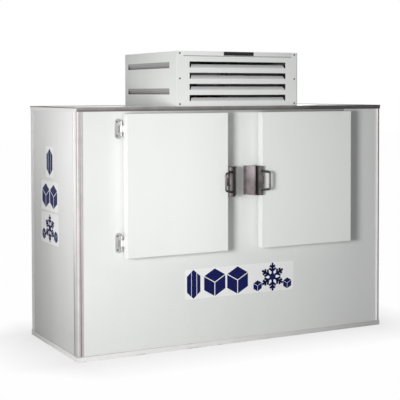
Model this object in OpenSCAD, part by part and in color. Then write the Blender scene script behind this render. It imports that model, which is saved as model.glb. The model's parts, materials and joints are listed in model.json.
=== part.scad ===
// Ice merchandiser: an insulated cabinet with two solid swing doors and a refrigeration unit on its roof.
// Millimetres. The origin is on the floor at the centre of the footprint; the front faces -Y and +Z is up.

/* [Cabinet] */
// Width over the corner trims
cab_w = 2388; // [2300:1:2600]
// Depth over the corner trims
cab_d = 914; // [900:1:1000]
// Height from the floor to the top rail
cab_h = 1634; // [1600:1:1750]
// Thickness of the insulated walls
wall_t = 76; // [64:1:90]
// Thickness of the insulated floor
floor_t = 76; // [50:1:100]
// Thickness of the insulated roof
roof_t = 76; // [60:1:82]
// Thickness of the outer sheet metal
skin_t = 1.5; // [1:0.1:2.5]
// Thickness of the inner liner sheet
liner_t = 1.2; // [0.8:0.1:2]
// Height of the floor pan's upturned rim
pan_rim = 30; // [15:1:60]

/* [Base frame] */
// Height of the base channels
base_h = 35; // [25:1:60]
// Depth of the base channels' flanges
base_flange = 45; // [30:1:60]
// Thickness of the base channels
base_gauge = 3; // [2:0.5:5]
// Number of cross channels, of which the middle one lies under the centre
skid_count = 5; // [3:2:7]

/* [Trims] */
// Length of a corner trim's leg on the front or back
trim_leg = 42; // [34:1:55]
// Length of a corner trim's leg on the side
trim_side = 66; // [50:1:80]
// Thickness of the corner trims and of the top rail
trim_t = 3; // [2:0.5:4]
// Width of the channel along a corner trim's leg
groove_w = 11; // [6:0.5:14]
// Depth of the channels
groove_deep = 1.4; // [0.5:0.1:1.5]
// Width of the land outside a channel
groove_land = 9; // [5:0.5:12]
// Width of a corner trim's hollow nose
post_w = 20; // [16:0.5:24]
// Outer radius of that nose
trim_r = 16; // [8:0.5:16]
// Height of the top rail
rail_h = 28; // [20:1:32]
// Height of the top rail's proud upper band
rail_band = 15; // [10:1:18]
// Width of the top rail's leg that lies on the roof
rail_leg = 10; // [6:1:10]

/* [Doors] */
// Space from a door's outer edge to the side of the cabinet
door_side = 314; // [280:1:340]
// Space from the floor to a door's lower edge
door_low = 655; // [560:1:700]
// Space between the two doors
door_gap = 264; // [256:1:320]
// Space from a door's top to the top of the cabinet
door_top = 43; // [40:1:60]
// How far a door's face stands in front of the cabinet's front sheet
door_proud = 78; // [72:1:90]
// Depth of the door's outer pan
pan_d = 62; // [52:1:66]
// Rounding of the door's front edges
door_r = 5; // [2:0.5:10]
// How far a door laps over the edge of its opening
door_lap = 44; // [40:1:60]
// Width of the gasket
gasket_w = 20; // [14:1:22]
// Width of the frame flange that the gasket meets
jamb_w = 24; // [23:1:28]
// Thickness of the frame around an opening
jamb_t = 2; // [1.5:0.1:3]
// Depth of the raised panel on the back of a door
plug_deep = 28; // [18:1:34]
// Space between that panel and the opening's edge
plug_gap = 12; // [8:1:20]

/* [Hinges] */
// Height of a hinge's flange
hinge_h = 132; // [115:1:160]
// Width of a hinge's flange
hinge_w = 46; // [34:1:50]
// Thickness of a hinge's flange
hinge_t = 5; // [3:0.5:7]
// Distance of a hinge's centre from the door's top or bottom edge
hinge_inset = 97; // [80:1:160]
// Distance of the hinge pin from the door's edge
pin_out = 17; // [15:0.5:19]
// Distance of the hinge pin from the cabinet's front sheet
pin_fwd = 34; // [30:1:40]
// Radius of the hinge pin
pin_r = 4; // [3:0.25:5]
// Radius of the hinge knuckles
knuckle_r = 8; // [7:0.25:9]
// Height of one hinge knuckle
knuckle_h = 40; // [30:1:48]
// Thickness of the hinge leaf on the door
leaf_t = 4; // [3:0.5:5]

/* [Latches] */
// Height of a latch
latch_h = 200; // [180:1:220]
// Width of the latch body beside the door
latch_w = 44; // [42:1:48]
// How far the latch body stands in front of the door's face
latch_proud = 26; // [22:1:32]
// Wall of the latch body
latch_wall = 4; // [3:0.5:4]
// Rounding of the latch body's front edges
latch_r = 12; // [6:1:14]
// Rounding of the latch body's ends
latch_end = 10; // [4:1:10]
// Space between the strike and the latch body
strike_gap = 4; // [3:0.5:6]
// Width of the strike's sloping part
strike_w = 40; // [36:1:56]
// How far the strike's nose lies behind the door's face
strike_low = 6; // [4:1:10]
// Wall of the strike
strike_wall = 5; // [3:0.5:6]
// Distance of the pull's bar from its pivot
pull_reach = 74; // [66:1:90]
// Height of the pull, to the middle of its bars
pull_h = 134; // [110:1:150]
// Radius of the pull's bar
pull_r = 5.5; // [4:0.25:6.5]
// Radius of the pull's bends
pull_bend = 16; // [10:1:24]
// Angle at which the pull stands off the door
pull_angle = 27; // [20:1:32]
// Travel of the latch bolt
bolt_travel = 10; // [6:0.5:11]

/* [Roof unit] */
// Width of the roof unit
unit_w = 952; // [900:1:1000]
// Height of the roof unit
unit_h = 375; // [360:1:420]
// Distance of the unit's front from the front of the cabinet
unit_back = 14; // [14:1:25]
// Distance of the unit's back from the back of the cabinet
unit_rear = 44; // [30:1:70]
// Sheet thickness of the roof unit
gauge = 1.5; // [1:0.1:2]
// Number of front louvres
louvre_n = 4; // [2:1:4]
// Width of a front louvre
louvre_w = 757; // [600:1:780]
// Height of a louvre
louvre_h = 42; // [34:1:48]
// Distance from one front louvre to the next
louvre_pitch = 76; // [66:1:78]
// Distance of the first louvre from the unit's top
louvre_top = 70; // [62:1:80]
// Depth of a louvre's blade behind its panel
louvre_deep = 20; // [12:1:26]
// Length of a side louvre
side_louvre_w = 688; // [500:1:720]
// Distance of the first side louvre from the unit's top
side_louvre_top = 76; // [62:1:90]
// Distance from one side louvre to the next
side_louvre_pitch = 179; // [150:1:190]
// Height of the lid's front lip
lip_h = 34; // [28:1:40]
// Width of the lid's front lip
lip_w = 851; // [800:1:870]
// Width of the blank plate on the lip
plate_w = 236; // [180:1:280]
// Height of the blank plate
plate_h = 27; // [20:1:27]

/* [Cooling] */
// Width of the insulated plug in the roof
plug_w = 640; // [600:1:700]
// Depth of the insulated plug in the roof
plug_d = 420; // [400:1:440]
// Space between the evaporator housing and the back wall
evap_rear = 66; // [60:1:80]
// Height of the evaporator housing under the ceiling
evap_h = 190; // [184:1:230]
// Radius of the evaporator fan
evap_fan_r = 72; // [60:1:76]
// Width of the condenser coil
cond_w = 420; // [380:1:440]
// Height of the condenser coil
cond_h = 290; // [284:1:310]
// Thickness of both coils
coil_t = 66; // [50:1:80]
// Radius of the condenser fan
cond_fan_r = 128; // [110:1:130]
// Radius of the compressor's shell
comp_r = 88; // [75:1:95]
// Height of the compressor's shell
comp_h = 205; // [180:1:225]
// Number of blades on a fan
blade_n = 5; // [3:1:6]

/* [Hidden] */
$fn = 48;

// clearances
run_fit = 0.05; // between a pin and its bore
seat = 0.3; // between a moving piece and what it rests against
over = 1; // by which a cut runs past what it cuts

// the cabinet's shell, as half widths and heights
xo = cab_w / 2 - trim_t;
yo = cab_d / 2 - trim_t;
xi = xo - wall_t;
yi = yo - wall_t;
roof_z = cab_h - trim_t;
floor_z = base_h + floor_t;
ceiling_z = roof_z - roof_t;
foam_top = roof_z - skin_t;

// the doors and their openings, for the right-hand side
door_x0 = door_gap / 2;
door_x1 = cab_w / 2 - door_side;
door_z1 = cab_h - door_top;
door_z0 = door_low;
door_mid = (door_z0 + door_z1) / 2;
open_x0 = door_x0 + door_lap;
open_x1 = door_x1 - door_lap;
open_z0 = door_z0 + door_lap;
open_z1 = door_z1 - door_lap;
door_face = -yo - door_proud;
pan_back = door_face + pan_d;
gasket_y = -yo - jamb_t - seat;

// the hinges
pin_x = door_x1 + pin_out;
pin_y = -yo - pin_fwd;
hinge_z = [door_z0 + hinge_inset, door_z1 - hinge_inset];
hinge_x = door_x1 + leaf_t + hinge_w / 2;
lug_h = 28;
lug_gap = 1;
leaf_y0 = pin_y - knuckle_r - 14;
leaf_y1 = pin_y + knuckle_r + 8;
pin_head_r = 6;
pin_head_h = 3;

// the latches
latch_x1 = door_x0;
latch_x0 = latch_x1 - latch_w;
latch_face = door_face - latch_proud;
latch_back = pan_back + 2;
strike_x1 = latch_x0 - strike_gap;
strike_x0 = strike_x1 - strike_w;
strike_face = door_face + strike_low;
strike_flange = 14;
pivot_x = latch_x0 + latch_w / 2 + 1;
pivot_y = door_face - 9;
hub_r = 7;
latch_pin_r = 3.5;
finger_len = 30;
finger_r = 3;
tail_y = pivot_y + finger_len;
slot_play = 0.6;
bolt_nose_d = 18;
bolt_h = 44;
bolt_clear = 0.5; // between the resting bolt and the edge of the strike's nose

// the roof unit
uy0 = -cab_d / 2 + unit_back;
uy1 = cab_d / 2 - unit_rear;
ux = unit_w / 2;
uz1 = roof_z + unit_h;
panel_y = uy0 + gauge;
flange_w = 30;
tray_t = 2;
screw_side = 24;
screw_r = 2;
screw_head_r = 6;
screw_head_h = 3;
screw_dome = 8;
screw_play = 0.1;
side_louvre_y = (uy0 + uy1) / 2 + 26;

// the cooling parts
evap_in = 30; // by which the housing lies inside the plug's outline
evap_w = plug_w - 2 * evap_in;
evap_d = plug_d - 2 * evap_in;
evap_y0 = yi - evap_rear - evap_d;
plug_y = evap_y0 + evap_d / 2;
evap_coil_y = evap_y0 + 160;
evap_coil_h = evap_h - 2 * evap_in;
evap_z0 = ceiling_z - evap_h;
evap_mid = ceiling_z - evap_h / 2;
evap_gauge = 1.2;
motor_r = 38;
motor_len = 60;
shaft_r = 4;
cond_x = 150;
cond_y = panel_y + 50;
cond_z0 = roof_z + tray_t;
cond_mid = cond_z0 + cond_h / 2;
shroud_d = 60;
shroud_y = cond_y + coil_t;
cond_fan_y = shroud_y + shroud_d - 6;
comp_x = -230;
comp_y = -60;
comp_foot = 22;
stub_top = roof_z + tray_t + comp_foot + comp_h + 6;
discharge_at = [comp_x, comp_y + 30];
suction_at = [comp_x + 40, comp_y - 10];
line_r = 5;
coil_end = 20; // from a coil's full width to its end plate
coil_plate = 3;
bend_r = 9;
bend_tube = 4;
ring_play = 0.15; // between a motor and the ring that holds it
drier_len = 110;
drier_neck = 12;
drier_at = [comp_x + comp_r + 62, comp_y + comp_r + 72, roof_z + tray_t + 60];
blade_t = 2;

white = [0.93, 0.94, 0.93];
steel = [0.72, 0.73, 0.74];
dark_steel = [0.45, 0.42, 0.42];
foam = [0.93, 0.86, 0.62];
grey = [0.35, 0.36, 0.38];
black = [0.07, 0.07, 0.08];
copper = [0.75, 0.45, 0.30];

// a box given by its low and high corners
module span(a, b) {
    translate(a) cube(b - a);
}

// a piece of the right side, or mirrored to the left
module side(s) {
    if (s > 0) children();
    else mirror([1, 0, 0]) children();
}

// a rounded rectangle in the XZ plane, extruded back from y0 to y1
module xz_block(x0, x1, z0, z1, r, y0, y1) {
    translate([0, y1, 0]) rotate([90, 0, 0]) linear_extrude(y1 - y0) round_rect(x0, x1, z0, z1, r);
}

module round_rect(x0, x1, z0, z1, r) {
    union() {
        translate([x0 + r, z0]) square([x1 - x0 - 2 * r, z1 - z0]);
        translate([x0, z0 + r]) square([x1 - x0, z1 - z0 - 2 * r]);
        for (x = [x0 + r, x1 - r], z = [z0 + r, z1 - r]) translate([x, z]) circle(r);
    }
}

// a rod along one axis from point a; axis 0, 1 or 2, signed length
module rod(a, axis, len, r) {
    turn = axis == 0 ? [0, 90, 0] : axis == 1 ? [-90, 0, 0] : [0, 0, 0];
    move = len < 0 ? (axis == 0 ? [len, 0, 0] : axis == 1 ? [0, len, 0] : [0, 0, len]) : [0, 0, 0];
    translate(a + move) rotate(turn) cylinder(h = abs(len), r = r);
}

// a pan-head screw pointing along -Z with its head's seat at z = 0
module screw(len) {
    translate([0, 0, -len]) cylinder(h = len, r = screw_r);
    intersection() {
        cylinder(h = screw_head_h, r = screw_head_r);
        translate([0, 0, screw_head_h - screw_dome]) sphere(screw_dome);
    }
}

// ---- cabinet ----

module channel_x(y, dir) {
    y0 = min(y, y + dir * base_flange);
    difference() {
        span([-cab_w / 2, y0, 0], [cab_w / 2, y0 + base_flange, base_h - skin_t]);
        span([-cab_w / 2 + base_gauge, dir > 0 ? y0 + base_gauge : y0 - over, base_gauge],
             [cab_w / 2 - base_gauge, dir > 0 ? y0 + base_flange + over : y0 + base_flange - base_gauge,
              base_h - skin_t - base_gauge]);
    }
}

// channels all round and across, under a welded deck sheet
module base_frame() {
    inner_y = cab_d / 2 - base_gauge;
    pitch = (cab_w - base_flange) / (skid_count - 1);
    color(steel) {
        channel_x(-cab_d / 2, 1);
        channel_x(cab_d / 2, -1);
        for (i = [0 : skid_count - 1]) translate([-(cab_w - base_flange) / 2 + i * pitch, 0, 0])
            difference() {
                span([-base_flange / 2, -inner_y, 0], [base_flange / 2, inner_y, base_h - skin_t]);
                span([-base_flange / 2 + base_gauge, -cab_d, base_gauge],
                     [base_flange / 2 - base_gauge, cab_d, base_h]);
            }
        span([-cab_w / 2, -cab_d / 2, base_h - skin_t], [cab_w / 2, cab_d / 2, base_h]);
    }
}

module floor_insulation() {
    color(foam) span([-xi - liner_t, -yi - liner_t, base_h], [xi + liner_t, yi + liner_t, floor_z - liner_t]);
}

// the tray that the bags of ice stand on
module floor_pan() {
    color(steel) difference() {
        span([-xi, -yi, floor_z - liner_t], [xi, yi, floor_z + pan_rim]);
        span([-xi + liner_t, -yi + liner_t, floor_z], [xi - liner_t, yi - liner_t, floor_z + pan_rim + over]);
    }
}

// foam slabs of the left, right and back walls
module wall_insulation() {
    color(foam) {
        for (s = [-1, 1]) side(s) difference() {
            span([xi + liner_t, -yo + skin_t, base_h], [xo - skin_t, yo - skin_t, foam_top]);
            post_room();
        }
        difference() {
            span([-xi - liner_t + seat, yi + liner_t, base_h], [xi + liner_t - seat, yo - skin_t, foam_top]);
            drain_hole();
        }
    }
}

// the space of one doorway, grown by g on every side
module doorway(s, g) {
    side(s) span([open_x0 - g, -yo - over, open_z0 - g], [open_x1 + g, -yi + over, open_z1 + g]);
}

module front_insulation() {
    color(foam) difference() {
        span([-xi - liner_t + seat, -yo + skin_t, base_h], [xi + liner_t - seat, -yi - liner_t, foam_top]);
        for (s = [-1, 1]) doorway(s, jamb_t);
        for (s = [-1, 1]) side(s) front_screw_holes();
    }
}

module roof_hole(g) {
    span([-plug_w / 2 - g, plug_y - plug_d / 2 - g, ceiling_z - over],
         [plug_w / 2 + g, plug_y + plug_d / 2 + g, cab_h]);
}

module roof_insulation() {
    color(foam) difference() {
        span([-xi - liner_t, -yi - liner_t, ceiling_z + liner_t], [xi + liner_t, yi + liner_t, foam_top]);
        roof_hole(0);
    }
}

// walls and ceiling of the cold space, folded from sheet
module inner_liner() {
    color(steel) difference() {
        span([-xi - liner_t, -yi - liner_t, floor_z - liner_t],
             [xi + liner_t, yi + liner_t, ceiling_z + liner_t]);
        span([-xi, -yi, floor_z - liner_t - over], [xi, yi, ceiling_z]);
        for (s = [-1, 1]) doorway(s, jamb_t);
        roof_hole(0);
        drain_hole();
    }
}

module side_skin(s) {
    color(white) side(s) difference() {
        span([xo - skin_t, -yo, base_h], [xo, yo, roof_z]);
        post_room();
    }
}

module back_outer_skin() {
    color(white) difference() {
        span([-xo + skin_t, yo - skin_t, base_h], [xo - skin_t, yo, roof_z]);
        post_room();
        drain_hole();
    }
}

// the front sheet with its two doorways
module front_outer_skin() {
    color(white) difference() {
        span([-xo + skin_t, -yo, base_h], [xo - skin_t, -yo + skin_t, roof_z]);
        post_room();
        for (s = [-1, 1]) doorway(s, jamb_t);
        for (s = [-1, 1]) side(s) front_screw_holes();
    }
}

module roof_skin() {
    color(white) difference() {
        span([-xo + skin_t, -yo + skin_t, foam_top], [xo - skin_t, yo - skin_t, roof_z]);
        roof_hole(0);
    }
}

// the square of a corner trim's nose with its outer corner rounded, w inside its outer faces
module post_outline(w) {
    intersection() {
        translate([w, w]) square(post_w - 2 * w);
        union() {
            translate([trim_r, trim_r]) circle(trim_r - w);
            translate([trim_r, 0]) square(post_w);
            translate([0, trim_r]) square(post_w);
        }
    }
}

// a hollow rounded nose with a leg on each face and a channel along each leg, the side's leg along Y
module trim_profile() {
    difference() {
        union() {
            post_outline(0);
            translate([trim_r, 0]) square([trim_leg - trim_r, trim_t]);
            translate([0, trim_r]) square([trim_t, trim_side - trim_r]);
        }
        post_outline(trim_t);
        translate([trim_leg - groove_land - groove_w, -over]) square([groove_w, over + groove_deep]);
        translate([-over, trim_side - groove_land - groove_w]) square([over + groove_deep, groove_w]);
    }
}

// the room that the four noses take out of the walls
module post_room() {
    for (mx = [0, 1], my = [0, 1]) mirror([mx, 0, 0]) mirror([0, my, 0])
        span([-cab_w / 2 - over, -cab_d / 2 - over, base_h - over],
             [-cab_w / 2 + post_w, -cab_d / 2 + post_w, cab_h - rail_h]);
}

module corner_trims() {
    color(steel) for (mx = [0, 1], my = [0, 1]) mirror([mx, 0, 0]) mirror([0, my, 0])
        translate([-cab_w / 2, -cab_d / 2, base_h]) linear_extrude(cab_h - rail_h - base_h) trim_profile();
}

// an angle all round the top edge, with a proud upper band
module top_rail() {
    step = trim_t / 3;
    color(steel) difference() {
        union() {
            span([-cab_w / 2, -cab_d / 2, cab_h - rail_band], [cab_w / 2, cab_d / 2, cab_h]);
            span([-cab_w / 2 + step, -cab_d / 2 + step, cab_h - rail_h],
                 [cab_w / 2 - step, cab_d / 2 - step, cab_h - rail_band]);
        }
        span([-xo, -yo, cab_h - rail_h - over], [xo, yo, roof_z]);
        span([-xo + rail_leg, -yo + rail_leg, roof_z - over], [xo - rail_leg, yo - rail_leg, cab_h + over]);
    }
}

// the moulded frame that lines a doorway, with the flange that the gasket meets
module door_frame(s) {
    color(steel) side(s) difference() {
        union() {
            span([open_x0 - jamb_t, -yo, open_z0 - jamb_t], [open_x1 + jamb_t, -yi, open_z1 + jamb_t]);
            span([open_x0 - jamb_w, -yo - jamb_t, open_z0 - jamb_w],
                 [open_x1 + jamb_w, -yo, open_z1 + jamb_w]);
        }
        span([open_x0, -yo - jamb_t - over, open_z0], [open_x1, -yi + over, open_z1]);
    }
}

// ---- hinges ----

// two screws in each hinge flange and two in each strike
module front_screw_places() {
    for (z = hinge_z, d = [-1, 1]) translate([hinge_x + hinge_w * 0.2, -yo - hinge_t, z + d * hinge_h * 0.34])
        rotate([90, 0, 0]) children();
    for (z = [door_mid - latch_h * 0.33, door_mid + latch_h * 0.33])
        translate([strike_x0 - strike_flange / 2, -yo - strike_wall, z]) rotate([90, 0, 0]) children();
}

module front_screw_holes() {
    depth = hinge_t + skin_t + 14;
    front_screw_places() translate([0, 0, -depth]) cylinder(h = depth + over, r = screw_r + screw_play);
}

// a cast flange on the cabinet with two lugs that hold the pin
module hinge_frame_leaf(z) {
    difference() {
        union() {
            xz_block(hinge_x - hinge_w / 2, hinge_x + hinge_w / 2, z - hinge_h / 2, z + hinge_h / 2,
                     hinge_w / 2 - 0.5, -yo - hinge_t, -yo);
            for (d = [-1, 1]) {
                z0 = d > 0 ? z + knuckle_h / 2 + lug_gap : z - knuckle_h / 2 - lug_gap - lug_h;
                span([pin_x - knuckle_r, pin_y, z0], [pin_x + knuckle_r, -yo - hinge_t, z0 + lug_h]);
                translate([pin_x, pin_y, z0]) cylinder(h = lug_h, r = knuckle_r);
            }
        }
        translate([pin_x, pin_y, z - hinge_h]) cylinder(h = 2 * hinge_h, r = pin_r + run_fit);
        front_screw_holes();
    }
}

module hinge_frame_leaves() {
    color(steel) for (s = [-1, 1], z = hinge_z) side(s) hinge_frame_leaf(z);
}

module hinge_pins() {
    len = knuckle_h + 2 * (lug_gap + lug_h);
    color(steel) for (s = [-1, 1], z = hinge_z) side(s) translate([pin_x, pin_y, z - len / 2]) {
        cylinder(h = len, r = pin_r);
        translate([0, 0, len]) cylinder(h = pin_head_h, r = pin_head_r);
        translate([0, 0, -pin_head_h]) cylinder(h = pin_head_h, r = pin_head_r);
    }
}

// the leaves on a door's edge, each with the middle knuckle
module hinge_leaves(s) {
    arm_t = 2 * knuckle_r - 4;
    color(steel) side(s) for (z = hinge_z) difference() {
        union() {
            span([door_x1, leaf_y0, z - hinge_h * 0.36], [door_x1 + leaf_t, leaf_y1, z + hinge_h * 0.36]);
            span([door_x1 + leaf_t / 2, pin_y - arm_t / 2, z - knuckle_h / 2],
                 [pin_x, pin_y + arm_t / 2, z + knuckle_h / 2]);
            translate([pin_x, pin_y, z - knuckle_h / 2]) cylinder(h = knuckle_h, r = knuckle_r);
        }
        translate([pin_x, pin_y, z - knuckle_h]) cylinder(h = 2 * knuckle_h, r = pin_r + run_fit);
    }
}

// ---- doors ----

// the outer pan: a sheet box open at the back, its front edges rounded
module door_block(x0, x1, y0, z0, z1, r) {
    intersection() {
        translate([0, 0, z0]) linear_extrude(z1 - z0) round_front(x0, x1, y0, pan_back, r);
        translate([x0, 0, 0]) rotate([90, 0, 90]) linear_extrude(x1 - x0)
            side_profile(y0, pan_back, z0, z1, r);
    }
}

module round_front(x0, x1, y0, y1, r) {
    union() {
        translate([x0, y0 + r]) square([x1 - x0, y1 - y0 - r]);
        translate([x0 + r, y0]) square([x1 - x0 - 2 * r, r + over]);
        for (x = [x0 + r, x1 - r]) translate([x, y0 + r]) circle(r);
    }
}

module side_profile(y0, y1, z0, z1, r) {
    union() {
        translate([y0 + r, z0]) square([y1 - y0 - r, z1 - z0]);
        translate([y0, z0 + r]) square([r + over, z1 - z0 - 2 * r]);
        for (z = [z0 + r, z1 - r]) translate([y0 + r, z]) circle(r);
    }
}

module door_skin(s) {
    color(white) side(s) difference() {
        door_block(door_x0, door_x1, door_face, door_z0, door_z1, door_r);
        span([door_x0 + skin_t, door_face + skin_t, door_z0 + skin_t],
             [door_x1 - skin_t, pan_back + over, door_z1 - skin_t]);
    }
}

// the block raised from a door's back, grown by g, from y0 to y1
module raised_block(g, y0, y1) {
    x = plug_gap - g;
    xz_block(open_x0 + x, open_x1 - x, open_z0 + x, open_z1 - x, door_r + g, y0, y1);
}

module door_insulation(s) {
    color(foam) side(s) {
        span([door_x0 + skin_t, door_face + skin_t, door_z0 + skin_t],
             [door_x1 - skin_t, pan_back - skin_t, door_z1 - skin_t]);
        raised_block(-skin_t, pan_back - skin_t - over, pan_back + plug_deep - skin_t);
    }
}

// the back sheet of the door with its raised panel, which enters the doorway
module door_liner(s) {
    color(white) side(s) difference() {
        union() {
            span([door_x0 + skin_t, pan_back - skin_t, door_z0 + skin_t],
                 [door_x1 - skin_t, pan_back, door_z1 - skin_t]);
            raised_block(0, pan_back - skin_t, pan_back + plug_deep);
        }
        raised_block(-skin_t, pan_back - skin_t - over, pan_back + plug_deep - skin_t);
    }
}

module door_gasket(s) {
    color(grey) side(s) difference() {
        span([open_x0 - gasket_w - 1, pan_back, open_z0 - gasket_w - 1],
             [open_x1 + gasket_w + 1, gasket_y, open_z1 + gasket_w + 1]);
        span([open_x0 - 1, pan_back - over, open_z0 - 1], [open_x1 + 1, gasket_y + over, open_z1 + 1]);
    }
}

// ---- latches ----

// the sloping keeper on the cabinet, hollow and open towards the latch
module strike(s) {
    nose = 10;
    z0 = door_mid - latch_h / 2;
    color(dark_steel) side(s) difference() {
        union() {
            span([strike_x0 - strike_flange, -yo - strike_wall, z0], [strike_x1, -yo, z0 + latch_h]);
            translate([0, 0, z0]) linear_extrude(latch_h) strike_profile(0, nose);
        }
        translate([0, 0, z0 + strike_wall]) linear_extrude(latch_h - 2 * strike_wall)
            strike_profile(strike_wall, nose);
        front_screw_holes();
    }
}

// wedge from the cabinet up to a nose beside the latch; w thins it to the hollow inside
module strike_profile(w, nose) {
    grow = w > 0 ? over : 0;
    polygon([[strike_x0 + 2 * w, -yo - w], [strike_x1 - nose, strike_face + w],
             [strike_x1 + grow, strike_face + w], [strike_x1 + grow, -yo - w]]);
}

module latch_outline(w, r) {
    round_front(latch_x0 + w, latch_x1 - w, latch_face + w, latch_back - (w > 0 ? -over : 0), r);
}

// the window for the bolt and the notches for the pull's two arms
module latch_cuts() {
    span([latch_x0 - over, tail_y - bolt_nose_d / 2 - seat, door_mid - bolt_h / 2 - seat],
         [latch_x0 + latch_wall + over, tail_y + bolt_nose_d / 2 + seat, door_mid + bolt_h / 2 + seat]);
    for (d = [-1, 1]) span([pivot_x - 2, latch_face - over, door_mid + d * pull_h / 2 - pull_r - 1.5],
                           [latch_x1 + over, door_face, door_mid + d * pull_h / 2 + pull_r + 1.5]);
}

// the housing beside the door, with the pin that the pull turns on
module latch_body(s) {
    z0 = door_mid - latch_h / 2;
    ear = 12;
    color(dark_steel) side(s) {
        difference() {
            union() {
                intersection() {
                    translate([0, 0, z0]) linear_extrude(latch_h) latch_outline(0, latch_r);
                    translate([latch_x0 - over, 0, 0]) rotate([90, 0, 90]) linear_extrude(latch_w + 2 * over)
                        side_profile(latch_face, latch_back, z0, z0 + latch_h, latch_end);
                }
                span([latch_x1 - over, door_face - latch_wall, z0 + latch_h * 0.36],
                     [latch_x1 + ear, door_face, z0 + latch_h * 0.64]);
            }
            translate([0, 0, z0 + latch_wall]) linear_extrude(latch_h - 2 * latch_wall)
                latch_outline(latch_wall, latch_r - latch_wall);
            latch_cuts();
        }
        translate([pivot_x, pivot_y, z0 + latch_wall])
            cylinder(h = latch_h - 2 * latch_wall, r = latch_pin_r);
    }
}

// the sliding bolt: a bevelled nose and a slotted tail that the pull's finger moves
module bolt(s) {
    x0 = strike_x1 + bolt_clear;
    x1 = latch_x0 + latch_wall + 6;
    tail_x1 = latch_x1 - latch_wall - bolt_travel - 1;
    bevel = 7;
    slot = finger_r + slot_play;
    color(steel) side(s) difference() {
        union() {
            translate([0, 0, door_mid - bolt_h / 2]) linear_extrude(bolt_h)
                polygon([[x0 + bevel, tail_y + bolt_nose_d / 2], [x0, tail_y], [x0, tail_y - bolt_nose_d / 2],
                         [x1, tail_y - bolt_nose_d / 2], [x1, tail_y + bolt_nose_d / 2]]);
            span([x1 - over, tail_y - finger_r, door_mid - 12], [tail_x1, tail_y + finger_r, door_mid + 12]);
        }
        span([pivot_x - slot, tail_y - bolt_nose_d, door_mid - 5 - slot_play],
             [pivot_x + slot, tail_y + bolt_nose_d, door_mid + 5 + slot_play]);
    }
}

// the pull: a hub on the pin, a D-shaped bar and the finger that draws the bolt
module handle(s) {
    straight = pull_reach - pull_bend;
    arm_z = pull_h / 2;
    hub_h = pull_h + 2 * pull_r + 6;
    color(steel) side(s) translate([pivot_x, pivot_y, door_mid]) difference() {
        union() {
            translate([0, 0, -hub_h / 2]) cylinder(h = hub_h, r = hub_r);
            rotate([0, 0, -pull_angle]) {
                for (d = [-1, 1]) {
                    rod([0, 0, d * arm_z], 0, straight, pull_r);
                    translate([straight, 0, d * (arm_z - pull_bend)]) rotate([90, 0, 0])
                        rotate([0, 0, d > 0 ? 0 : -90]) rotate_extrude(angle = 90)
                            translate([pull_bend, 0]) circle(pull_r);
                }
                rod([pull_reach, 0, pull_bend - arm_z], 2, pull_h - 2 * pull_bend, pull_r);
            }
            span([-2, 0, -5], [2, finger_len, 5]);
            translate([0, finger_len, -5]) cylinder(h = 10, r = finger_r);
        }
        translate([0, 0, -hub_h]) cylinder(h = 2 * hub_h, r = latch_pin_r + run_fit);
    }
}

// ---- roof unit ----

// slot n of the front panel: height of its lower edge
function louvre_z(n) = uz1 - louvre_top - louvre_h - n * louvre_pitch;
function side_louvre_z(n) = uz1 - side_louvre_top - louvre_h - n * side_louvre_pitch;
back_louvre_z = [for (n = [1 : 3]) louvre_z(n) + louvre_pitch / 2];

// an inward blade that rises from a slot's lower edge, for a panel in the XZ plane at y = 0
module blade(w) {
    end_gap = 8;
    drop = louvre_h * 0.28;
    translate([-w / 2 + end_gap, 0, 0]) rotate([90, 0, 90]) linear_extrude(w - 2 * end_gap)
        polygon([[0, -gauge], [0, 0], [louvre_deep, louvre_h - drop], [louvre_deep + gauge, louvre_h - drop],
                 [gauge, -gauge]]);
}

module front_unit_screws() {
    for (s = [-1, 1], z = [15, unit_h / 2, unit_h - 13]) translate([s * (ux - screw_side), panel_y, uz1 - z])
        rotate([90, 0, 0]) children();
}

module back_unit_screws() {
    for (s = [-1, 1], z = [15, unit_h / 2, unit_h - 13]) translate([s * (ux - screw_side), uy1, uz1 - z])
        rotate([-90, 0, 0]) children();
}

module unit_screw_holes() {
    depth = 3 * gauge;
    front_unit_screws() translate([0, 0, -depth]) cylinder(h = depth + over, r = screw_r + screw_play);
    back_unit_screws() translate([0, 0, -depth]) cylinder(h = depth + over, r = screw_r + screw_play);
}

module panel_screws() {
    color(steel) {
        front_unit_screws() screw(2 * gauge + 4);
        back_unit_screws() screw(2 * gauge + 4);
        for (s = [-1, 1]) side(s) front_screw_places() screw(hinge_t + skin_t + 10);
    }
}

module unit_front_panel() {
    color(white) {
        difference() {
            span([-ux, panel_y, roof_z], [ux, panel_y + gauge, uz1 - gauge]);
            for (n = [0 : louvre_n - 1]) span([-louvre_w / 2, panel_y - over, louvre_z(n)],
                                             [louvre_w / 2, panel_y + gauge + over, louvre_z(n) + louvre_h]);
            unit_screw_holes();
        }
        for (n = [0 : louvre_n - 1]) translate([0, panel_y, louvre_z(n)]) blade(louvre_w);
    }
}

// a side sheet with two long louvres, whose blades hang from the slots' upper edges, and two flanges
module unit_side_panel(s) {
    y0 = panel_y + gauge;
    y1 = uy1 - gauge;
    mid = side_louvre_y;
    color(white) side(s) {
        difference() {
            union() {
                span([ux - gauge, y0, roof_z], [ux, y1, uz1 - gauge]);
                span([ux - flange_w, y0, roof_z], [ux - gauge, y0 + gauge, uz1 - gauge]);
                span([ux - flange_w, y1 - gauge, roof_z], [ux - gauge, y1, uz1 - gauge]);
            }
            for (n = [0, 1]) span([ux - gauge - over, mid - side_louvre_w / 2, side_louvre_z(n)],
                                  [ux + over, mid + side_louvre_w / 2, side_louvre_z(n) + louvre_h]);
            unit_screw_holes();
        }
        for (n = [0, 1]) translate([ux, mid, side_louvre_z(n) + louvre_h]) rotate([0, 0, 90])
            mirror([0, 0, 1]) blade(side_louvre_w);
    }
}

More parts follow.
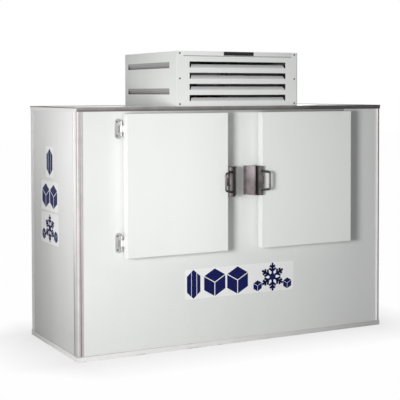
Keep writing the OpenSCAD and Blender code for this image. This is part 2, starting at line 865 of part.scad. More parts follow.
// the back sheet's louvres lie halfway between the front's, so that nobody can look through the unit
module unit_back_panel() {
    color(white) {
        difference() {
            span([-ux, uy1 - gauge, roof_z], [ux, uy1, uz1 - gauge]);
            for (z = back_louvre_z) span([-louvre_w / 2, uy1 - gauge - over, z],
                                         [louvre_w / 2, uy1 + over, z + louvre_h]);
            gland_hole();
            unit_screw_holes();
        }
        for (z = back_louvre_z) translate([0, uy1, z]) rotate([0, 0, 180]) blade(louvre_w);
    }
}

// the top sheet with a lip over the front panel
module unit_lid() {
    color(white) {
        span([-ux, panel_y, uz1 - gauge], [ux, uy1, uz1]);
        span([-lip_w / 2, uy0, uz1 - lip_h], [lip_w / 2, panel_y, uz1]);
    }
}

module unit_plate() {
    color(black) xz_block(-plate_w / 2, plate_w / 2, uz1 - plate_h - 1, uz1 - 1, 2, uy0 - 1.5, uy0);
}

// where the suction and liquid lines pass the roof, just behind the evaporator's coil
line_places = [[-60, evap_coil_y + coil_t + 14], [60, evap_coil_y + coil_t + 14]];

module line_holes() {
    for (p = line_places) translate([p[0], p[1], evap_z0]) cylinder(h = unit_h + evap_h, r = line_r + seat);
}

module unit_base() {
    color(steel) difference() {
        span([-ux + gauge, panel_y + 2 * gauge, roof_z], [ux - gauge, uy1 - 2 * gauge, roof_z + tray_t]);
        line_holes();
    }
}

module roof_plug() {
    color(foam) difference() {
        span([-plug_w / 2 + seat, plug_y - plug_d / 2 + seat, ceiling_z],
             [plug_w / 2 - seat, plug_y + plug_d / 2 - seat, roof_z]);
        line_holes();
    }
}

// ---- cooling parts ----

// a hermetic shell on a foot plate with four rubber mounts and two line stubs
module compressor() {
    z0 = roof_z + tray_t;
    dome = 45;
    color(black) translate([comp_x, comp_y, z0]) {
        span([-comp_r - 10, -comp_r - 10, comp_foot - 4], [comp_r + 10, comp_r + 10, comp_foot]);
        for (x = [-1, 1], y = [-1, 1]) translate([x * (comp_r - 2), y * (comp_r - 2), 0])
            cylinder(h = comp_foot - 4, r = 11);
        translate([0, 0, comp_foot]) rotate_extrude() polygon(concat(
            [[0, 0], [comp_r - 12, 0], [comp_r, 12], [comp_r, comp_h / 2 - 4], [comp_r + 4, comp_h / 2 - 4],
             [comp_r + 4, comp_h / 2 + 4], [comp_r, comp_h / 2 + 4]],
            [for (a = [0 : 9 : 90]) [comp_r * cos(a), comp_h - dome + dome * sin(a)]]));
    }
    color(black) for (p = [discharge_at, suction_at]) translate([p[0], p[1], stub_top - dome])
        cylinder(h = dome, r = line_r + 2);
}

// a finned block between two end plates that stand on feet, with its return bends
module coil(w, h, t, bends, foot) {
    end = w / 2 - coil_end;
    groove_n = 10;
    groove = 4;
    pitch = 2 * end / groove_n;
    difference() {
        span([-end, 0, -h / 2], [end, t, h / 2]);
        for (n = [0 : groove_n - 1]) translate([(n + 0.5) * pitch - end, 0, 0])
            span([0, -over, -h / 2 - over], [groove, t * 0.2, h / 2 + over]);
    }
    for (s = [-1, 1]) side(s) {
        span([end, 0, -h / 2 - foot], [end + coil_plate, t, h / 2]);
        for (n = [0 : bends - 1]) translate([end + coil_plate, t / 2, (n + 0.5 - bends / 2) * h / bends])
            rotate([90, 0, 0]) rotate([0, 0, -90]) rotate_extrude(angle = 180) translate([bend_r, 0])
                circle(bend_tube);
    }
}

module condenser_coil() {
    color(grey) translate([cond_x, cond_y, cond_mid]) coil(cond_w, cond_h, coil_t, 6, 0);
}

// the box that guides the air from the coil to the fan, with the motor's three arms
module condenser_shroud() {
    w = cond_w / 2 - coil_end + coil_plate;
    ring = cond_fan_r + 5;
    color(black) {
        translate([cond_x, shroud_y, cond_mid]) difference() {
            span([-w, 0, -cond_h / 2], [w, shroud_d, cond_h / 2]);
            span([-w + 2, -over, -cond_h / 2 + 2], [w - 2, shroud_d - 2, cond_h / 2 - 2]);
            rod([0, 0, 0], 1, shroud_d + over, ring);
        }
        translate([cond_x, cond_fan_y, cond_mid]) for (a = [90, 210, 330]) rotate([0, a, 0])
            span([motor_r + 3, 36.5, -6], [ring + 6, 38.5, 6]);
        translate([cond_x, cond_fan_y, cond_mid]) for (a = [90, 210, 330]) rotate([0, a, 0])
            span([ring + 1, 5, -6], [ring + 6, 38.5, 6]);
        translate([cond_x, cond_fan_y + 36, cond_mid]) difference() {
            rod([0, 0, 0], 1, 3, motor_r + 6);
            rod([0, -over, 0], 1, 3 + 2 * over, motor_r + ring_play);
        }
    }
}

// a round motor along Y from y = 0, with the bearing bore for the fan's shaft
module motor(len) {
    difference() {
        union() {
            rod([0, 0, 0], 1, len, motor_r);
            rod([0, -6, 0], 1, 6, 12);
        }
        rod([0, -6 - over, 0], 1, 30, shaft_r + run_fit);
    }
}

module condenser_motor() {
    color(grey) translate([cond_x, cond_fan_y + 30, cond_mid]) motor(motor_len);
}

// pitched blades on a hub, with the shaft that runs into the motor
module fan(r, hub) {
    pitch = 28;
    difference() {
        rod([0, -14, 0], 1, 28, hub);
        rod([0, -14 - over, 0], 1, 6, hub - 4);
    }
    for (n = [0 : blade_n - 1]) rotate([0, n * 360 / blade_n, 0]) translate([hub - 3, 0, 0])
        rotate([pitch, 0, 0]) translate([0, blade_t / 2, 0]) rotate([90, 0, 0]) linear_extrude(blade_t)
            polygon([[0, -8], [(r - hub) * 0.5, -r * 0.24], [(r - hub) * 0.93, -r * 0.27], [r - hub, -r * 0.1],
                     [(r - hub) * 0.98, r * 0.12], [(r - hub) * 0.6, r * 0.16], [0, 9]]);
    rod([0, 0, 0], 1, 40, shaft_r);
}

module condenser_fan() {
    color(grey) translate([cond_x, cond_fan_y, cond_mid]) fan(cond_fan_r, 22);
}

module filter_drier() {
    color(copper) translate(drier_at) {
        rod([0, 0, 0], 0, drier_len, 16);
        rod([-drier_neck, 0, 0], 0, drier_len + 2 * drier_neck, 8);
    }
}

// copper lines: discharge, liquid and suction
module refrigerant_lines() {
    drier = drier_at + [drier_len + drier_neck, 0, 0];
    low = line_places[0];
    high = line_places[1];
    gas_z = stub_top + 14;
    suction_z = stub_top + 34;
    bend_out = coil_plate + bend_r + bend_tube;
    cond_at = [cond_x - cond_w / 2 + coil_end - bend_out - line_r - seat, cond_y + coil_t / 2];
    end_z = evap_z0 + evap_h - 26;
    color(copper) {
        pipe([[discharge_at[0], discharge_at[1], stub_top], [discharge_at[0], discharge_at[1], gas_z],
              [discharge_at[0], cond_at[1], gas_z], [cond_at[0], cond_at[1], gas_z],
              [cond_at[0], cond_at[1], cond_z0 + cond_h / 2]], line_r);
        pipe([drier, [high[0] + 20, drier[1], drier[2]],
              [high[0] + 20, high[1], drier[2]], [high[0], high[1], drier[2]], [high[0], high[1], end_z]], line_r);
        pipe([[suction_at[0], suction_at[1], stub_top], [suction_at[0], suction_at[1], suction_z],
              [suction_at[0], low[1], suction_z], [low[0], low[1], suction_z], [low[0], low[1], end_z]], line_r);
    }
}

// a round tube through points that differ in one coordinate from one to the next
module pipe(pts, r) {
    for (i = [0 : len(pts) - 2]) {
        d = pts[i + 1] - pts[i];
        axis = abs(d[0]) > 0.01 ? 0 : abs(d[1]) > 0.01 ? 1 : 2;
        if (norm(d) > 0.01) rod(pts[i], axis, d[axis], r);
        if (i > 0) translate(pts[i]) sphere(r);
    }
}

module electrical_box() {
    z0 = roof_z + tray_t;
    color(steel) translate([-ux + 60, uy1 - 160, z0]) {
        span([0, 0, 0], [150, 90, 120]);
        span([-2, -2, 120], [152, 92, 123]);
        for (x = [25, 125]) rod([x, 92, 60], 1, -8, 10);
    }
}

gland_at = [-ux + 130, roof_z + tray_t + 36];

module gland_hole() {
    rod([gland_at[0], uy1 - gauge - over, gland_at[1]], 1, gauge + 2 * over, 11);
}

// the empty cable inlet on the back of the unit
module cable_gland() {
    color(black) translate([gland_at[0], uy1, gland_at[1]]) difference() {
        union() {
            rod([0, -gauge - 4, 0], 1, gauge + 4, 11 - screw_play);
            rod([0, 0, 0], 1, 8, 16);
            rod([0, -gauge - 8, 0], 1, 8, 15);
        }
        rod([0, -20, 0], 1, 40, 6);
    }
}

// a sheet box under the ceiling, closed above by the plug, with a fan opening in front and slots behind
module evaporator_housing() {
    g = evap_gauge;
    w = evap_w / 2;
    ring = evap_fan_r + 4;
    color(white) {
        difference() {
            span([-w, evap_y0, evap_z0], [w, evap_y0 + evap_d, ceiling_z]);
            span([-w + g, evap_y0 + g, evap_z0 + g], [w - g, evap_y0 + evap_d - g, ceiling_z + over]);
            rod([0, evap_y0 - over, evap_mid], 1, g + 2 * over, ring);
            for (n = [0 : 5]) span([-w + 30, evap_y0 + evap_d - g - over, evap_z0 + 40 + n * 22],
                                   [w - 30, evap_y0 + evap_d + over, evap_z0 + 50 + n * 22]);
            drain_pipe(line_r + seat);
        }
        for (a = [90, 210, 330]) translate([0, evap_y0, evap_mid]) rotate([0, a, 0]) {
            span([motor_r + 3, 60.5, -6], [ring + 10, 62.5, 6]);
            span([ring + 4, g / 2, -6], [ring + 10, 62.5, 6]);
        }
        translate([0, evap_y0 + 60, evap_mid]) difference() {
            rod([0, 0, 0], 1, 3, motor_r + 6);
            rod([0, -over, 0], 1, 3 + 2 * over, motor_r + ring_play);
        }
    }
}

module evaporator_coil() {
    color(grey) translate([0, evap_coil_y, evap_mid])
        coil(evap_w - evap_in, evap_coil_h, coil_t, 4, evap_in - evap_gauge);
}

module evaporator_motor() {
    color(grey) translate([0, evap_y0 + 54, evap_mid]) motor(motor_len);
}

module evaporator_fan() {
    color(grey) translate([0, evap_y0 + 24, evap_mid]) fan(evap_fan_r, 18);
}

drain_x = evap_w / 2 - 60;

module drain_pipe(r) {
    rod([drain_x, evap_y0 + evap_d - 20, evap_z0 + 14], 1, yo - evap_y0 - evap_d + 50, r);
}

module drain_hole() {
    drain_pipe(line_r + seat);
}

// the tube that takes the melt water out through the back wall
module drain_tube() {
    color(grey) difference() {
        drain_pipe(line_r);
        translate([0, -over, 0]) drain_pipe(line_r - 1.5);
        translate([0, over, 0]) drain_pipe(line_r - 1.5);
    }
}

base_frame();
floor_insulation();
floor_pan();
wall_insulation();
front_insulation();
roof_insulation();
inner_liner();
side_skin(-1);  // left_outer_skin
side_skin(1);  // right_outer_skin
back_outer_skin();
front_outer_skin();
roof_skin();
corner_trims();
top_rail();
door_frame(-1);  // left_door_frame
door_frame(1);  // right_door_frame
hinge_frame_leaves();
hinge_pins();
strike(-1);  // left_strike
strike(1);  // right_strike
panel_screws();
unit_base();
roof_plug();
unit_side_panel(-1);  // unit_left_panel
unit_side_panel(1);  // unit_right_panel
unit_back_panel();
unit_front_panel();
unit_lid();
unit_plate();
compressor();
condenser_coil();
condenser_shroud();
condenser_motor();
condenser_fan();
filter_drier();
refrigerant_lines();
electrical_box();
cable_gland();
evaporator_housing();
evaporator_coil();
evaporator_motor();
evaporator_fan();
drain_tube();
door_skin(-1);  // left_door_skin
door_insulation(-1);  // left_door_insulation
door_liner(-1);  // left_door_liner
door_gasket(-1);  // left_door_gasket
hinge_leaves(-1);  // left_hinge_leaves
latch_body(-1);  // left_latch_body
bolt(-1);  // left_bolt
handle(-1);  // left_handle
door_skin(1);  // right_door_skin
door_insulation(1);  // right_door_insulation
door_liner(1);  // right_door_liner
door_gasket(1);  // right_door_gasket
hinge_leaves(1);  // right_hinge_leaves
latch_body(1);  // right_latch_body
bolt(1);  // right_bolt
handle(1);  // right_handle
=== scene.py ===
# An ice merchandiser: an insulated, white enamelled cabinet with two doors, and a louvred cooling unit on
# its roof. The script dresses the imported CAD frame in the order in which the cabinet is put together.
import functools
import json
import math

import bmesh
import bpy
from mathutils import Matrix, Vector


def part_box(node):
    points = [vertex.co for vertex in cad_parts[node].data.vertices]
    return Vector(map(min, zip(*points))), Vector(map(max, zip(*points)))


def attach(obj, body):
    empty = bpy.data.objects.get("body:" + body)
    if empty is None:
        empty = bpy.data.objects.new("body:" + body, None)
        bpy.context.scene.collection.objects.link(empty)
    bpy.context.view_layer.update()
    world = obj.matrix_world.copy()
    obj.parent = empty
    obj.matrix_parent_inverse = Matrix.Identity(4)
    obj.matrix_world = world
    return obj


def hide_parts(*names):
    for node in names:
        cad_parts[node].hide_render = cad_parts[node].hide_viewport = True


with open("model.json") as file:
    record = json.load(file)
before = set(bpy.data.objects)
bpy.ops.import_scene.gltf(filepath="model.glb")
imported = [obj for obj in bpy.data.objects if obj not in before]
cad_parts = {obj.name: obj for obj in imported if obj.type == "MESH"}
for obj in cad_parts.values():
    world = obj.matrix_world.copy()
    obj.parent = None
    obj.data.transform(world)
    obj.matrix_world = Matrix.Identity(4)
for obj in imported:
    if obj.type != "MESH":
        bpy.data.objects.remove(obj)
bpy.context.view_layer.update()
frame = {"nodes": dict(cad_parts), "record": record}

nodes, record = frame["nodes"], frame["record"]
scene = bpy.context.scene

# ---------------------------------------------------------------------------
# Viewpoint. The camera stands left of the cabinet at eye height and looks slightly down; the sensor is
# shifted down, which keeps the cabinet's uprights upright.
eye = Vector((-3.5947, -6.7414, 1.7278))
yaw, pitch, roll = 0.48177, -0.03373, -0.00217
ahead = Vector((math.sin(yaw) * math.cos(pitch), math.cos(yaw) * math.cos(pitch), math.sin(pitch)))
level = Vector((math.cos(yaw), -math.sin(yaw), 0))
upward = level.cross(ahead)
camera_x = level * math.cos(roll) + upward * math.sin(roll)
camera_y = upward * math.cos(roll) - level * math.sin(roll)
lens_data = bpy.data.cameras.new("viewpoint")
lens_data.lens = 94.84
lens_data.sensor_width = 36
lens_data.shift_y = -0.18
viewpoint = bpy.data.objects.new("viewpoint", lens_data)
viewpoint.matrix_world = Matrix.Translation(eye) @ Matrix((camera_x, camera_y, -ahead)).transposed().to_4x4()
scene.collection.objects.link(viewpoint)
scene.camera = viewpoint
scene.view_settings.view_transform = "Standard"


# ---------------------------------------------------------------------------
# Studio. A white room: the world and the floor show white to the camera and in reflections, and the floor
# keeps a shadow at the cabinet's foot. The key lamp stands far left. Dark flags, which neither the camera nor
# a reflection sees, shade the right and the low left.
def wire(socket, value):
    """Joins a socket to another, or sets it; a colour is given as three numbers, or as one for a grey."""
    if isinstance(value, bpy.types.NodeSocket):
        socket.id_data.links.new(value, socket)
    elif socket.type == "RGBA":
        socket.default_value = (*(value if isinstance(value, tuple) else [value] * 3), 1)
    else:
        socket.default_value = value


def put(tree, kind, **values):
    """A new node; each value goes to the property or the input of that name."""
    node = tree.nodes.new(kind)
    for key, value in values.items():
        if hasattr(node, key):
            setattr(node, key, value)
        else:
            wire(node.inputs[key.replace("_", " ")], value)
    return node


def calc(operation, a, b=0.0, clamp=False):
    """One sum on two values, of which one at least is a socket."""
    tree = (a if isinstance(a, bpy.types.NodeSocket) else b).id_data
    node = put(tree, "ShaderNodeMath", operation=operation, use_clamp=clamp)
    wire(node.inputs[0], a)
    wire(node.inputs[1], b)
    return node.outputs[0]


def times(*values):
    """The product of several values."""
    return functools.reduce(functools.partial(calc, "MULTIPLY"), values)


plus, minus, greater, size_of = [functools.partial(calc, operation)
                                 for operation in ("ADD", "SUBTRACT", "MAXIMUM", "ABSOLUTE")]


def spread(value, low, high, to_low=0.0, to_high=1.0):
    """A value stretched from one range to another, and held inside it."""
    return put(value.id_data, "ShaderNodeMapRange", Value=value, From_Min=low, From_Max=high, To_Min=to_low,
               To_Max=to_high).outputs[0]


def place_on(owner):
    """A point's place on the piece, in a material or in a node tree."""
    return put(getattr(owner, "node_tree", owner), "ShaderNodeTexCoord").outputs["Object"]


def axes_on(owner):
    """That place as its x, y and z."""
    here = place_on(owner)
    return tuple(put(here.id_data, "ShaderNodeSeparateXYZ", Vector=here).outputs)


def seen_ray(tree):
    """1 for rays from the camera, off a glossy surface or through a clear one."""
    rays = put(tree, "ShaderNodeLightPath").outputs
    return greater(greater(rays["Is Camera Ray"], rays["Is Glossy Ray"]), rays["Is Transmission Ray"])


def show(tree, share, plain, seen, output):
    """Mixes a plain shader with the one that is seen, and joins both to the tree's output."""
    both = put(tree, "ShaderNodeMixShader")
    for socket, value in zip(both.inputs, (share, plain.outputs[0], seen.outputs[0])):
        wire(socket, value)
    wire(put(tree, output).inputs[0], both.outputs[0])


def studio_sheet(name, corners, material):
    """A flat sheet that belongs to the studio."""
    mesh = bpy.data.meshes.new(name)
    mesh.from_pydata(corners, [], [(0, 1, 2, 3)])
    mesh.materials.append(material)
    sheet = bpy.data.objects.new(name, mesh)
    scene.collection.objects.link(sheet)
    return sheet


room = bpy.data.worlds.new("white_room")
room.use_nodes = True
scene.world = room
sky = room.node_tree
sky.nodes.clear()
dim = put(sky, "ShaderNodeBackground", Color=1.0, Strength=0.24)
bright = put(sky, "ShaderNodeBackground", Color=1.0, Strength=1.0)
show(sky, seen_ray(sky), dim, bright, "ShaderNodeOutputWorld")

floor_paint = bpy.data.materials.new("pale_floor")
floor_paint.use_nodes = True
ground = floor_paint.node_tree
ground.nodes.clear()
# the floor keeps more of the shadow under the cabinet's foot than further out
foot_x, foot_y = 1.19, 0.45
x, y, z = axes_on(ground)
out_x, out_y = [greater(minus(size_of(axis), half), 0.0) for axis, half in ((x, foot_x), (y, foot_y))]
matt = put(ground, "ShaderNodeBsdfDiffuse", Color=0.60)
glow = put(ground, "ShaderNodeEmission", Color=1.0, Strength=1.0)
glow_share = times(seen_ray(ground), spread(plus(out_x, out_y), 0.0, 0.5, 0.72, 0.985))
show(ground, glow_share, matt, glow, "ShaderNodeOutputMaterial")
half = 30.0
floor_corners = [(-half, -half, 0), (half, -half, 0), (half, half, 0), (-half, half, 0)]
studio_sheet("studio_floor", floor_corners, floor_paint)

# name, place, aim, size, watts and spread in degrees of each lamp; a small spread is a lamp with a grid
for name, place, aim, size, watts, grid in [
        ("far_left_key", (-3.9, -3.33, 1.4), (0.08, -0.45, 1.17), 1.2, 49, 90),
        ("overhead_softbox", (0.2, -0.6, 5.2), (0.0, 0.0, 1.0), 2.5, 25, 180),
        ("back_softbox", (2.6, 4.6, 3.0), (0.0, 0.4, 1.0), 2.0, 110, 180)]:
    lamp_data = bpy.data.lights.new(name, "AREA")
    lamp_data.size = size
    lamp_data.energy = watts
    lamp_data.spread = math.radians(grid)
    lamp = bpy.data.objects.new(name, lamp_data)
    lamp.location = place
    lamp.rotation_mode = "QUATERNION"
    lamp.rotation_quaternion = (Vector(aim) - Vector(place)).to_track_quat("-Z", "Y")
    scene.collection.objects.link(lamp)

flag_cloth = bpy.data.materials.new("flag_cloth")
flag_cloth.use_nodes = True
cloth = flag_cloth.node_tree.nodes["Principled BSDF"].inputs
wire(cloth["Base Color"], 0.01)
wire(cloth["Roughness"], 0.9)
# name, the two foot points and the top of each flag
for name, (x0, y0), (x1, y1), top in [
        ("right_flag", (3.1, -3.8), (6.6, -1.8), 3.4),
        ("left_flag", (-2.5, -1.25), (-2.5, 2.6), 1.35)]:
    flag = studio_sheet(name, [(x0, y0, 0.02), (x1, y1, 0.02), (x1, y1, top), (x0, y0, top)], flag_cloth)
    flag.visible_camera = False
    flag.visible_glossy = False


# ---------------------------------------------------------------------------
# Sheet metal panels. Baked white enamel on steel sheet: a smooth coat with a slight orange peel, a little
# uneven in tone from years of wiping, and dulled by splashes near the floor.
over, under, lesser = [functools.partial(calc, operation)
                       for operation in ("GREATER_THAN", "LESS_THAN", "MINIMUM")]


def between(value, low, high):
    """1 where a value lies between two others."""
    return times(over(value, low), under(value, high))


def noise(place, scale, detail=2.0, roughness=0.5):
    """Noise of a scale in cells per metre."""
    return put(place.id_data, "ShaderNodeTexNoise", Vector=place, Scale=scale, Detail=detail,
               Roughness=roughness).outputs["Fac"]


def tint(share, a, b):
    """Colour a blended with colour b."""
    node = put(share.id_data, "ShaderNodeMix", data_type="RGBA")
    for number, value in ((0, share), (6, a), (7, b)):
        wire(node.inputs[number], value)
    return node.outputs[2]


def relief(height, depth, strength=1.0):
    """A bump of that depth in metres."""
    return put(height.id_data, "ShaderNodeBump", Height=height, Distance=depth, Strength=strength).outputs[0]


def new_group(name, **inputs):
    """A finish as a shader node group, with its input values and its colour, roughness and normal."""
    group = bpy.data.node_groups.new(name, "ShaderNodeTree")
    kinds = {float: "NodeSocketFloat", tuple: "NodeSocketColor", Vector: "NodeSocketVector"}
    for label, value in inputs.items():
        socket = group.interface.new_socket(label, in_out="INPUT", socket_type=kinds[type(value)])
        socket.default_value = (*value, 1) if isinstance(value, tuple) else value
    for label, kind in (("Colour", "Color"), ("Roughness", "Float"), ("Normal", "Vector")):
        group.interface.new_socket(label, in_out="OUTPUT", socket_type="NodeSocket" + kind)
    return group, put(group, "NodeGroupInput").outputs, put(group, "NodeGroupOutput").inputs


def shader_of(material):
    """The inputs of a material's own shader."""
    return material.node_tree.nodes["Principled BSDF"].inputs


def finish(name, group=None, **values):
    """A material. Each value goes to the input of that name on its finish group, or else on its shader."""
    made = bpy.data.materials.new(name)
    made.use_nodes = True
    shader = shader_of(made)
    sockets = dict(shader.items())
    if group:
        look = put(made.node_tree, "ShaderNodeGroup", node_tree=group)
        sockets.update(look.inputs.items())
        for ours, theirs in (("Colour", "Base Color"), ("Roughness", "Roughness"), ("Normal", "Normal")):
            wire(shader[theirs], look.outputs[ours])
    for key, value in values.items():
        wire(sockets[key.replace("_", " ")], value)
    return made


def stain(material, mask, colour):
    """Lays a colour over a material's own colour, as far as a mask says."""
    base = shader_of(material)["Base Color"]
    wire(base, tint(mask, base.links[0].from_socket, colour))


def paint_cad(material, *names):
    """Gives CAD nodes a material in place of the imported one."""
    for name in names:
        for slot in nodes[name].material_slots:
            slot.material = material


enamel, given, result = new_group("baked_enamel", Paint=(0.88, 0.89, 0.88), Cloudiness=0.05, Peel=0.0003,
                                  Gloss=0.30, Splash=0.0)
here = place_on(enamel)
x, y, z = axes_on(enamel)
cloud = noise(here, 1.4, 3.0)
wiped = noise(put(enamel, "ShaderNodeMapping", Vector=here, Scale=(3.0, 3.0, 0.7)).outputs[0], 2.6, 5.0, 0.62)
splashed = times(spread(z, 0.42, 0.03), spread(noise(here, 55.0, 4.0, 0.7), 0.52, 0.72), given["Splash"])
lost = plus(times(spread(plus(cloud, wiped), 0.75, 1.25), given["Cloudiness"]), splashed)
wire(result["Colour"], tint(lost, given["Paint"], (0.34, 0.35, 0.33)))
wire(result["Roughness"], plus(given["Gloss"], times(plus(wiped, splashed), 0.16)))
wire(result["Normal"], relief(noise(here, 330.0, 1.0), given["Peel"], 0.6))

cabinet_white = finish("cabinet_enamel", enamel, Paint=(0.875, 0.88, 0.872), Cloudiness=0.035, Splash=0.10,
                       Coat_Weight=0.18, Coat_Roughness=0.12)
paint_cad(cabinet_white, "back_outer_skin", "roof_skin")

front_white = finish("front_enamel", enamel, Paint=(0.872, 0.890, 0.874), Cloudiness=0.035, Splash=0.10,
                     Coat_Weight=0.18, Coat_Roughness=0.12)
x, y, z = axes_on(front_white)
low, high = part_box("right_door_skin")
# both ends of the front are painted darker as painted shade: the right end, and the upper part of the left
# end
at_left = times(spread(x, -1.0, -0.5, 0.10, 0.0), spread(z, 0.5, 0.9))
stain(front_white, plus(spread(x, 0.45, 1.0, 0.0, 0.14), at_left), (0.25, 0.22, 0.27))
# a painted shadow of the right door on the panel beside its hinge side
painted_door_shadow = lesser(spread(x, high.x - 0.01, high.x, 0.0, 0.22),
                     spread(x, high.x + 0.085, high.x + 0.165, 0.22, 0.0))
stain(front_white, times(between(z, low.z - 0.01, high.z + 0.005), painted_door_shadow), (0.16, 0.15, 0.16))
# painted shade on the strip between the doors and the rail, darker towards the right
painted_shade_above_doors = times(spread(z, high.z - 0.004, high.z + 0.004), under(x, high.x - 0.01))
stain(front_white, times(painted_shade_above_doors, spread(x, -0.9, 0.3, 0.0, 0.72)), 0.16)
paint_cad(front_white, "front_outer_skin")

side_white = finish("side_enamel", enamel, Paint=(0.93, 0.935, 0.925), Gloss=0.34, Splash=0.10,
                    Coat_Weight=0.12, Coat_Roughness=0.16)
# the ends have their own paler copy of the enamel, painted darker towards the floor and the back as painted
# shade
x, y, z = axes_on(side_white)
painted_end_shade = plus(spread(z, 1.30, 0.15, 0.0, 0.38), spread(y, -0.3, 0.46, 0.0, 0.18))
stain(side_white, painted_end_shade, (0.25, 0.25, 0.24))
paint_cad(side_white, "left_outer_skin", "right_outer_skin")

# ---------------------------------------------------------------------------
# Base frame. Folded steel channels under a deck sheet, enamelled bright white; the lower edge is rubbed
# and marked where the cabinet has been slid over floors.
body_of = {name: body for body, names in record["behaviour"]["bodies"].items() for name in names}


def joined(node):
    """A bmesh of a CAD node with its loose triangles merged into whole faces."""
    source = nodes[node].data
    plain = bpy.data.meshes.new("plain")
    plain.from_pydata([v.co for v in source.vertices], [], [p.vertices for p in source.polygons])
    shell = bmesh.new()
    shell.from_mesh(plain)
    bpy.data.meshes.remove(plain)
    bmesh.ops.remove_doubles(shell, verts=shell.verts, dist=0.00001)
    bmesh.ops.dissolve_limit(shell, angle_limit=math.radians(0.5), verts=shell.verts, edges=shell.edges)
    return shell


def as_object(shell, name, smooth_under):
    """Turns a bmesh into an object, shaded smooth where its faces turn by less than some degrees."""
    mesh = bpy.data.meshes.new(name)
    shell.to_mesh(mesh)
    shell.free()
    mesh.shade_smooth()
    mesh.set_sharp_from_angle(angle=math.radians(smooth_under))
    made = bpy.data.objects.new(name, mesh)
    scene.collection.objects.link(made)
    return made


def settle(piece, node, replace=True):
    """Puts a piece on the body of a CAD node, and hides that node when the piece replaces it."""
    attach(piece, body_of[node])
    if replace:
        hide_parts(node)
    return piece


def make_piece(shell, name, material, node, smooth_under=32, replace=True):
    """Turns a bmesh into a piece of one material that stands for a CAD node."""
    piece = as_object(shell, name, smooth_under)
    piece.data.materials.append(material)
    return settle(piece, node, replace)


def ease(piece, width, segments=2):
    """Rounds a piece's edges."""
    edge = piece.modifiers.new("eased_edges", "BEVEL")
    edge.width = width
    edge.segments = segments
    edge.limit_method = "ANGLE"
    edge.angle_limit = math.radians(32)
    edge.harden_normals = True
    return piece


def eased(node, material, width, segments=2):
    """A CAD node with its edges rounded."""
    return ease(make_piece(joined(node), node + "_finished", material, node), width, segments)


base_white = finish("base_enamel", enamel, Paint=(0.93, 0.92, 0.91), Cloudiness=0.02, Gloss=0.42,
                    Coat_Weight=0.1)
x, y, z = axes_on(base_white)
scratch = put(base_white.node_tree, "ShaderNodeMapping", Vector=place_on(base_white), Scale=(7.0, 7.0, 26.0))
marks = spread(noise(scratch.outputs[0], 1.0, 5.0, 0.72), 0.52, 0.66)
stain(base_white, times(marks, spread(z, 0.012, 0.002), 0.6), (0.22, 0.21, 0.20))
# the base is painted darker towards the right end, as painted shade
stain(base_white, spread(x, -0.2, 1.1, 0.0, 0.50), (0.30, 0.29, 0.29))
# the seam under the panels is painted dark as the shade of the gap, most of all at the left
painted_seam_shade = over(z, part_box("left_outer_skin")[0].z - 0.0035)
stain(base_white, times(painted_seam_shade, spread(x, -1.1, 0.5, 0.75, 0.10)), (0.40, 0.38, 0.38))
eased("base_frame", base_white, 0.0012)

# ---------------------------------------------------------------------------
# Corner posts and top rail. Extruded aluminium with die lines along its length: the posts have a rounded
# nose between two shaded channels, and the rail has a proud upper band over a darker lower one.
grain, given, result = new_group("drawn_metal", Metal=(0.6, 0.6, 0.6), Dull=(0.3, 0.3, 0.3),
                                 Stretch=Vector((400.0, 400.0, 6.0)), Lines=0.00006, Tarnish=0.3, Gloss=0.32)
here = place_on(grain)
drawn_out = put(grain, "ShaderNodeVectorMath", operation="MULTIPLY")
wire(drawn_out.inputs[0], here)
wire(drawn_out.inputs[1], given["Stretch"])
streaks = noise(drawn_out.outputs[0], 1.0, 4.0, 0.65)
dulling = times(spread(noise(here, 9.0, 5.0, 0.65), 0.42, 0.68), plus(streaks, 0.35), given["Tarnish"])
wire(result["Colour"], tint(dulling, given["Metal"], given["Dull"]))
wire(result["Roughness"], plus(given["Gloss"], times(plus(streaks, dulling), 0.22)))
wire(result["Normal"], relief(streaks, given["Lines"], 0.7))

post_metal = finish("post_aluminium", grain, Metal=(0.56, 0.535, 0.53), Dull=(0.30, 0.28, 0.28), Tarnish=0.35,
                    Gloss=0.36, Metallic=0.3)
# marks on the posts are placed by their distance from the cabinet's outer faces
x, y, z = axes_on(post_metal)
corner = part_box("corner_trims")[1]
from_side, from_front = minus(corner.x, size_of(x)), minus(corner.y, size_of(y))
at_left, at_right = under(x, 0.0), over(x, 0.0)
# the channels hold shade and dirt
front_channel = times(between(from_side, 0.022, 0.029), under(from_front, 0.004))
side_channel = times(between(from_front, 0.046, 0.057), under(from_side, 0.004))
channels = times(greater(front_channel, side_channel), spread(z, 1.3, 0.5, 0.15, 1.0))
stain(post_metal, channels, (0.22, 0.20, 0.20))
# the left end's flanges are painted pale as painted light, and the upper noses painted dark as painted shade
painted_lit_flanges = times(at_left, between(from_front, 0.014, 0.058), spread(z, 0.3, 1.1, 0.0, 0.9))
stain(post_metal, painted_lit_flanges, (0.96, 0.93, 0.92))
painted_shade_noses = times(under(from_side, 0.012), under(from_front, 0.012), spread(z, 0.4, 1.2, 0.0, 0.45))
stain(post_metal, painted_shade_noses, (0.22, 0.20, 0.20))
# the rear left post is painted pale all over, as painted light
stain(post_metal, times(at_left, over(y, 0.0), 0.85), (0.76, 0.75, 0.75))
# the right posts have a painted highlight on their ridge, and painted shade where they turn the corner
stain(post_metal, times(at_right, between(from_side, 0.020, 0.040)), (0.97, 0.95, 0.95))
stain(post_metal, times(at_right, under(from_side, 0.020)), (0.25, 0.23, 0.23))
eased("corner_trims", post_metal, 0.0005)

rail_metal = finish("rail_aluminium", grain, Metal=(0.33, 0.30, 0.30), Dull=(0.13, 0.12, 0.12),
                    Stretch=(6.0, 6.0, 500.0), Tarnish=0.5, Gloss=0.42, Metallic=0.35)
x, y, z = axes_on(rail_metal)
low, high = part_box("top_rail")
